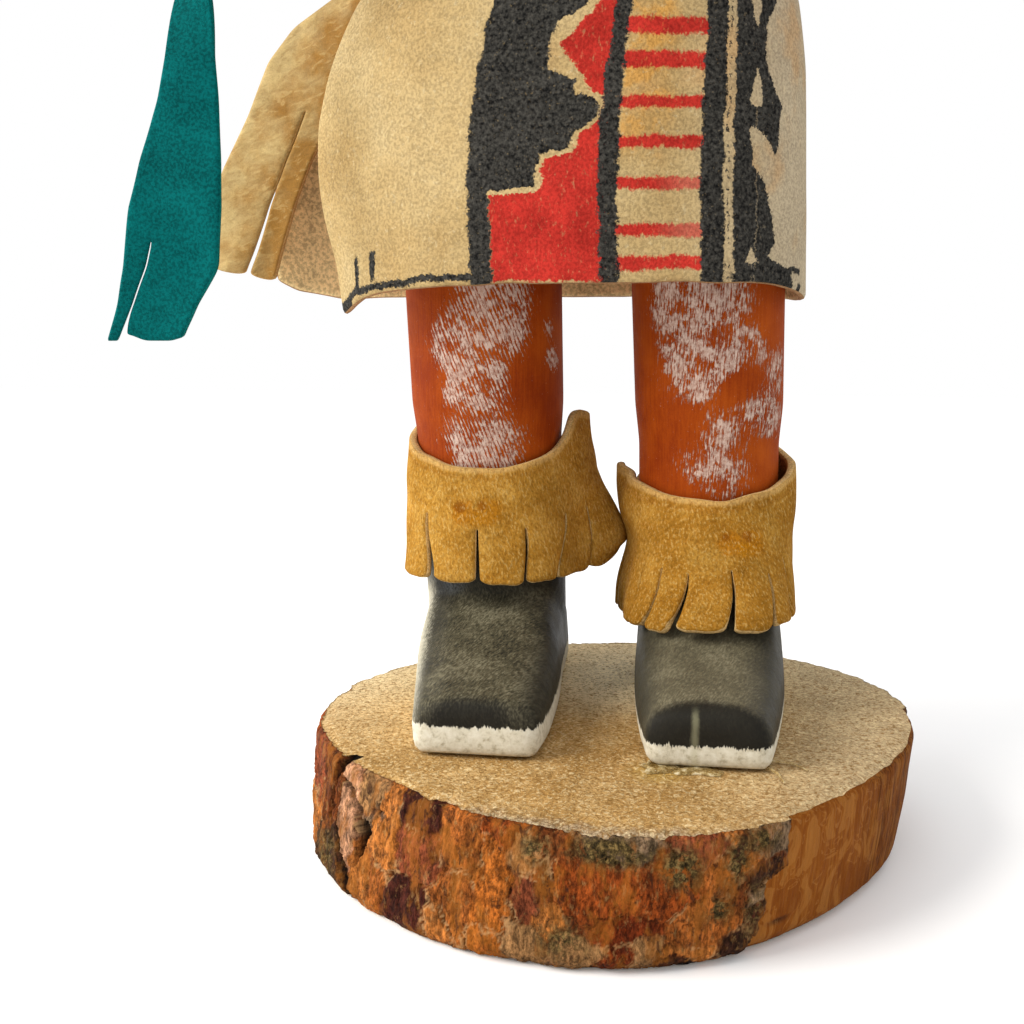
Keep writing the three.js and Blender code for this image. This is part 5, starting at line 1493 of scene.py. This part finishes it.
def ankle_cuff(name, cuff, slits, flap, finishes, seed):
    """A strip wrapped once round the ankle, cut into a fringe; each strip bends its own way"""
    chance = np.random.default_rng(seed)
    v = np.concatenate([np.linspace(0, 0.55, 19), np.linspace(0.58, 1, 15)])[:, None]
    slits = sorted(slits)
    lines = [(0.0, 0.0, 0.0, 0.0)] + slits + [(1.0, 1.0, 0.0, 0.0)]
    grids = []
    for (foot0, head0, open0, top0), (foot1, head1, open1, top1) in zip(lines, lines[1:]):
        share = np.linspace(0, 1, 9)[None, :]
        down0, down1 = smooth((top0 - v) / 0.5), smooth((top1 - v) / 0.5)
        start = lerp(head0, foot0, down0) + np.where(v < top0 - 1e-6, 0.0009 + open0 * down0, 0)
        end = lerp(head1, foot1, down1) - np.where(v < top1 - 1e-6, 0.0009 + open1 * down1, 0)
        u = start + share * (end - start)
        vv = np.repeat(v, 9, 1)
        points = cuff_surface(cuff, u, vv)
        axis = xyz(cuff[0] * ANKLE_APART, 0, points[..., 2])
        outward = unit((points - axis) * [1, 1, 0])
        facing = np.abs(outward[..., 1]).mean()      # strips at the sides hang straighter
        free = smooth((0.46 - vv) / 0.46)
        bend = lerp(-0.9, 0.35, facing) + chance.uniform(-0.25, 0.25)
        twist = chance.uniform(-0.30, 0.30)
        cup = 0.28 * (2 * share - 1) ** 2
        out = free * (bend + twist * (2 * share - 1) - cup) + 0.22 * lumps(points, 5, seed)
        # snug against the leg at the rim; only the lapping end's own corner stands off it
        lap = smooth((0.14 - u) / 0.14) * (CUFF_SUEDE + 0.5) * 1.15
        out = out - (0.95 + lap * smooth(u / 0.05)) * smooth((vv - 0.66) / 0.34)
        points = points + outward * out[..., None] + flap(u, vv)
        drop = chance.uniform(-0.35, 0.35)
        rounded = 0.55 * np.abs(2 * share - 1) ** 8 * smooth(1 - vv / 0.10)
        points[..., 2] += free ** 2 * (drop + 0.30 * lumps(points, 1.6, seed + 2)) + rounded
        points[..., 2] += smooth((vv - 0.9) / 0.1) * 0.30 * lumps(points, 4, seed + 4)
        # the end that lies under is lower, so that it doesn't show above the other
        points[..., 2] -= 5.5 * smooth((u - 0.80) / 0.16) * vv
        uv = np.stack([u, vv], -1)
        if cuff[0] < 0:
            points, uv = points[:, ::-1], uv[:, ::-1]
        grids.append((stand(points), uv))
    obj = leather(name, grids, CUFF_SUEDE, finishes)
    return obj


def right_cuff_flap(u, v):
    """The lapping end leaves the leg sideways, widest below its middle, and its rim stands up"""
    reach = np.interp(v, [0, 0.12, 0.22, 0.36, 0.5, 0.62, 0.8, 1],
                      [5.0, 6.2, 6.3, 4.4, 2.4, 1.2, 0.9, 1.2])
    out = reach * smooth(1 - u / 0.12)
    rise = (1.5 * bump(u, 0.05, 0.06) - 0.5 * smooth(1 - u / 0.03)) * smooth((v - 0.6) / 0.4)
    trim = 3.6 * smooth(1 - u / 0.06) * smooth((0.2 - v) / 0.2)
    drop = -1.1 * (1 - v) ** 2 * bump(u, 0.28, 0.36)
    return xyz(out, -0.45 * out, rise + trim + drop)


def left_cuff_flap(u, v):
    """The lapping end's upper corner is turned out; the fringe is shorter towards the outside"""
    out = 0.5 * smooth(1 - u / 0.05) * smooth((v - 0.60) / 0.36)
    rise = 0.6 * smooth(1 - u / 0.10) * smooth((v - 0.7) / 0.3)
    shorter = lerp(-0.7, 1.2, smooth((u - 0.12) / 0.24)) * (1 - v) ** 2 * smooth((0.6 - u) / 0.1)
    drawn_in = 2.2 * bump(v, 0.5, 0.4) * (smooth((0.22 - u) / 0.16) + smooth((u - 0.84) / 0.08))
    flare = 1.0 * bump(u, 0.53, 0.14) * smooth((v - 0.5) / 0.45)
    return xyz(drawn_in + flare - out, -0.3 * out, rise + shorter)


def cuffs(finishes_right, finishes_left):
    right = ankle_cuff("right_cuff_suede", RIGHT_CUFF, RIGHT_SLITS, right_cuff_flap,
                       finishes_right, 3)
    worn(right, "right_ankle_cuff", "tan_suede")
    left = ankle_cuff("left_cuff_suede", LEFT_CUFF, LEFT_SLITS, left_cuff_flap,
                      finishes_left, 8)
    worn(left, "left_ankle_cuff", "tan_suede")


def tufts(name, count, bundle, finish, seed):
    """Geometry nodes: short bent strands all over a core, each one turned by chance"""
    tree = bpy.data.node_groups.new(name, "GeometryNodeTree")
    sockets = {}
    for label, kind, way in (("Core", "Geometry", "INPUT"), ("Strand", "Object", "INPUT"),
                             ("Density", "Float", "INPUT"), ("Shortest", "Float", "INPUT"),
                             ("Longest", "Float", "INPUT"), ("Seed", "Int", "INPUT"),
                             ("Shape", "Geometry", "OUTPUT")):
        sockets[label] = tree.interface.new_socket(label, in_out=way,
                                                   socket_type="NodeSocket" + kind)
    nodes, link = tree.nodes, tree.links.new
    given, out = nodes.new("NodeGroupInput"), nodes.new("NodeGroupOutput")
    scatter = nodes.new("GeometryNodeDistributePointsOnFaces")
    link(given.outputs["Core"], scatter.inputs["Mesh"])
    link(given.outputs["Density"], scatter.inputs["Density"])
    link(given.outputs["Seed"], scatter.inputs["Seed"])
    strand = nodes.new("GeometryNodeObjectInfo")
    link(given.outputs["Strand"], strand.inputs["Object"])
    length = nodes.new("FunctionNodeRandomValue")
    length.data_type = "FLOAT"
    link(given.outputs["Shortest"], length.inputs[2])
    link(given.outputs["Longest"], length.inputs[3])
    link(given.outputs["Seed"], length.inputs["Seed"])
    sway = nodes.new("FunctionNodeRandomValue")
    sway.data_type = "FLOAT_VECTOR"
    sway.inputs[0].default_value = (-0.5, -0.5, -3.14)
    sway.inputs[1].default_value = (0.5, 0.5, 3.14)
    link(given.outputs["Seed"], sway.inputs["Seed"])
    turn = nodes.new("FunctionNodeRotateRotation")
    turn.rotation_space = "LOCAL"
    link(scatter.outputs["Rotation"], turn.inputs[0])
    to_rotation = nodes.new("FunctionNodeEulerToRotation")
    link(sway.outputs[0], to_rotation.inputs[0])
    link(to_rotation.outputs[0], turn.inputs[1])
    place = nodes.new("GeometryNodeInstanceOnPoints")
    link(scatter.outputs["Points"], place.inputs["Points"])
    link(strand.outputs["Geometry"], place.inputs["Instance"])
    link(turn.outputs[0], place.inputs["Rotation"])
    link(length.outputs[1], place.inputs["Scale"])
    both = nodes.new("GeometryNodeJoinGeometry")
    link(given.outputs["Core"], both.inputs[0])
    real = nodes.new("GeometryNodeRealizeInstances")
    link(place.outputs[0], real.inputs[0])
    paint = nodes.new("GeometryNodeSetMaterial")
    paint.inputs["Material"].default_value = finish
    link(real.outputs[0], paint.inputs["Geometry"])
    link(paint.outputs[0], both.inputs[0])
    link(both.outputs[0], out.inputs[0])
    return tree, sockets


def strand(name, width, bend):
    """One strand a millimetre long, three-sided, pointing along Z"""
    z = np.linspace(0, 1, 4)
    rings = []
    for k, level in enumerate(z):
        r = width * (1 - 0.75 * level)
        a = np.linspace(0, 2 * math.pi, 3, endpoint=False)
        rings.append(xyz(r * np.cos(a) + bend * level ** 2, r * np.sin(a), level))
    return loft(name, rings, [])


def with_strands(obj, tree, sockets, strand_obj, density, shortest, longest, seed):
    hair = obj.modifiers.new("strands", "NODES")
    hair.node_group = tree
    for label, value in (("Strand", strand_obj), ("Density", density), ("Shortest", shortest),
                         ("Longest", longest), ("Seed", seed)):
        hair[sockets[label].identifier] = value
    return settle(obj)


def neck_ruff(core_finish, strand_finish):
    top = NECK_TOP_Z - GLUE_GAP - 1.6
    low = NECK_TOP_Z - RUFF_H + 1.3
    inner, outer = NECK_R + WORN_GAP + 0.9, HEAD_R + 0.6
    a = np.linspace(0, 2 * math.pi, 64, endpoint=False)
    t = np.linspace(0, 2 * math.pi, 24, endpoint=False)
    a, t = np.meshgrid(a, t)
    r = (inner + outer) / 2 + (outer - inner) / 2 * np.cos(t)
    z = (top + low) / 2 + (top - low) / 2 * np.sin(t)
    r = r + 0.3 * lumps(xyz(np.cos(a) * 9, np.sin(a) * 9, t * 2), 2.5, 9)
    points = stand(xyz(r * np.cos(a), r * np.sin(a), z))
    rows, columns = a.shape
    quads = strips(rows + 1, columns, around=True).reshape(-1, 4) % (rows * columns)
    core = piece("wool_ruff", points, quads.tolist(), [core_finish, strand_finish])
    tree, sockets = tufts("ruff strands", 0, None, strand_finish, 0)
    hair = strand("ruff_strand", 0.16, 0.35)
    with_strands(core, tree, sockets, hair, 1.35e6, 1.3, 2.4, 5)
    bpy.data.objects.remove(hair)
    return worn(core, "neck_ruff", "ruff")


def crest_feathers(finish):
    """Vanes cut into barbs, on a quill set into the mask's top"""
    head_top = HEAD_BASE_Z + HEAD_H
    for number, (fx, tilt) in enumerate(((-7, -17), (0, 0), (7, 17)), 1):
        a = math.radians(tilt)
        vane = np.array([[1.8, 0.8], [5, 2.4], [11, 3.7], [17, 3.6], [21, 2.4], [23, 0.7]])
        shells = []

        def at(d, across, deep):
            return xyz(fx + d * math.sin(a) + across * math.cos(a), 6 + d * 0.12 + deep,
                       head_top + d * math.cos(a) - across * math.sin(a))

        rings = []
        for d in np.linspace(-4.7, 22.6, 30):
            t = np.linspace(0, 2 * math.pi, 10, endpoint=False)
            r = 0.62 * (1 - 0.75 * max(0, d) / 23)
            rings.append(at(d, r * np.cos(t), r * np.sin(t)))
        shells.append(np.array(rings))
        for side in (-1, 1):
            for k, d in enumerate(np.arange(2.2, 22.4, 0.42)):
                half = np.interp(d, vane[:, 0], vane[:, 1])
                ring = []
                for s in np.linspace(0, 1, 7):
                    rise = 1.9 * s ** 0.8 * half / 3.7
                    w = 0.22 * (1 - 0.45 * s)
                    t = np.linspace(0, 2 * math.pi, 4, endpoint=False) + 0.8
                    gap = 0.25 if (k + 3 * number + side) % 11 == 0 else 0
                    ring.append(at(d + rise + w * np.cos(t) + gap * s,
                                   side * (0.2 + (half - 0.2) * s) + 0 * t,
                                   -0.12 * side * np.sin(t) - 0.35 * s ** 2))
                shells.append(np.array(ring))
        parts = [loft(f"barb_{number}_{k}", stand(rings), [finish])
                 for k, rings in enumerate(shells)]
        whole = parts[0]
        with bpy.context.temp_override(active_object=whole, selected_editable_objects=parts,
                                       object=whole, selected_objects=parts):
            bpy.ops.object.join()
        whole.name = f"feather_{number}"
        worn(whole, f"crest_feather_{number}", "feather")


def glue_pieces(finish):
    """Dried glue: a puddle and strings at the left boot's toe"""
    a = np.linspace(0, 2 * math.pi, 40, endpoint=False)
    parts = []
    for k, (cx, cy, wide, deep) in enumerate(((6.6, -20.2, 2.4, 2.0), (11.8, -20.6, 3.4, 1.7))):
        rings = []
        for share, level in ((1.0, 0.0), (0.97, 0.12), (0.85, 0.26), (0.55, 0.36), (0.2, 0.4)):
            wobble = 1 + 0.18 * np.sin(3 * a + 1 + 2 * k) + 0.12 * np.sin(5 * a)
            rings.append(xyz(cx + wide * share * wobble * np.cos(a),
                             cy + deep * share * wobble * np.sin(a), BASE_H - 0.10 + level))
        parts.append(loft(f"glue_puddle_{k}", rings, [finish]))
    for k, stations in enumerate((
            [[19.5, -14.5, 18.3, 0.35], [21.5, -16.0, 18.2, 0.28], [24.5, -16.5, 18.1, 0.2],
             [26.5, -18.8, 18.1, 0.12]],
            [[19.0, -17.5, 18.3, 0.4], [22.0, -20.0, 18.2, 0.25], [23.0, -23.5, 18.1, 0.15]],
            [[5.8, -18.2, 18.4, 0.3], [5.0, -20.4, 18.2, 0.25], [7.2, -21.9, 18.1, 0.15]])):
        parts.append(loft(f"glue_string_{k}", limb_rings(stations, 8, 6), [finish]))
    whole = parts[0]
    with bpy.context.temp_override(active_object=whole, selected_editable_objects=parts,
                                   object=whole, selected_objects=parts):
        bpy.ops.object.join()
    whole.name = "dried_glue"
    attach(whole, "root")
    return whole


# The photograph's view, a pale floor and soft light from the upper left

def camera():
    data = bpy.data.cameras.new("camera")
    data.sensor_width = 36
    data.lens = 42.01
    data.clip_start = 0.005
    obj = bpy.data.objects.new("camera", data)
    obj.location = (0.008251, -0.174854, 0.0799)
    obj.rotation_euler = (math.radians(80.1), 0, math.radians(8))
    scene.collection.objects.link(obj)
    scene.camera = obj


def floor():
    obj = piece("floor", [[-900, -900, -0.3], [900, -900, -0.3], [900, 900, -0.3],
                          [-900, 900, -0.3]], [(0, 1, 2, 3)], [pale_floor()])


def lamp(name, place, aim, size, power, colour):
    data = bpy.data.lights.new(name, "AREA")
    data.shape = "DISK"
    data.size = size
    data.energy = power
    data.color = colour
    obj = bpy.data.objects.new(name, data)
    obj.location = place
    way = np.array(aim) - np.array(place)
    across = math.atan2(-way[0], way[1])
    down = math.atan2(math.hypot(way[0], way[1]), -way[2])
    obj.rotation_euler = (down, 0, across)
    scene.collection.objects.link(obj)


def light():
    world = bpy.data.worlds.new("studio")
    world.use_nodes = True
    sky = world.node_tree.nodes["Background"]
    sky.inputs[0].default_value = (1, 1, 1, 1)
    sky.inputs[1].default_value = 1.0
    scene.world = world
    lamp("window", (-0.46, -0.22, 0.40), (0, 0, 0.06), 0.34, 3.6, (1, 0.96, 0.9))
    lamp("side", (-0.50, 0.06, 0.12), (0, 0, 0.06), 0.22, 1.1, (0.9, 0.95, 1))
    scene.view_settings.view_transform = "Standard"


def main():
    camera()
    floor()
    light()
    wood_finish = painted_wood()
    earth, finish, shader = new_finish("terracotta paint", Specular_IOR_Level=0.14, Roughness=0.6)
    place = finish.place()
    colour, lines = terracotta(finish, place)
    finish.put(shader.inputs["Base Color"], colour)
    finish.put(shader.inputs["Roughness"], finish.step(lines, 0.3, 0.7, 0.5, 0.72))
    finish.put(shader.inputs["Normal"], finish.bump(lines, 0.1))
    flesh = suede("flesh side", (0.81, 0.62, 0.31), 0.6, 0.42, 0.3)
    kilt_edge = suede("kilt cut edge", (0.34, 0.19, 0.09), 0.3, 0.4, 0.2)
    tan_edge = suede("cuff cut edge", (0.62, 0.41, 0.17), 0.3, 0.45, 0.2)
    tan_flesh = suede("cuff flesh side", (0.34, 0.15, 0.04), 0.4, 0.5, 0.3)
    teal = suede("teal suede", (0.001, 0.104, 0.102), 0.40, 0.44, 0.24)
    teal_edge = suede("teal cut edge", (0.003, 0.14, 0.13), 0.3, 0.4, 0.2)
    sash = smooth_leather("sash leather", (0.39, 0.280, 0.116), (0.275, 0.138, 0.029))
    sash_edge = suede("sash cut edge", (0.46, 0.28, 0.10), 0.3, 0.35, 0.2)
    brown = smooth_leather("brown leather", (0.085, 0.040, 0.018), (0.045, 0.020, 0.010))
    log_slice()
    carved_body(wood_finish)
    arms(earth)
    mask(mask_paint())
    kilt([kilt_painted(), flesh, kilt_edge])
    belt(brown)
    armbands(brown)
    hip_sash([sash, sash_edge, sash_edge])
    streamer([teal, teal, teal_edge])
    golden = ((0.32, 0.146, 0.017), (0.39, 0.190, 0.027), (0.48, 0.262, 0.051))
    brassy = ((0.266, 0.116, 0.011), (0.336, 0.155, 0.019), (0.406, 0.211, 0.035))
    cuffs([cuff_suede("right cuff suede", golden, RIGHT_CUFF, ((0.302, 0.56), 3.0)),
           tan_flesh, tan_edge],
          [cuff_suede("left cuff suede", brassy, LEFT_CUFF, ((0.340, 0.64), 3.0)),
           tan_flesh, tan_edge])
    neck_ruff(fibre("ruff wool", (0.020, 0.045, 0.018), (0.055, 0.095, 0.040)),
              fibre("ruff strands", (0.025, 0.060, 0.022), (0.10, 0.15, 0.06)))
    crest_feathers(fibre("feather", (0.42, 0.38, 0.30), (0.72, 0.69, 0.62)))
    glue_pieces(dried_glue())



main()
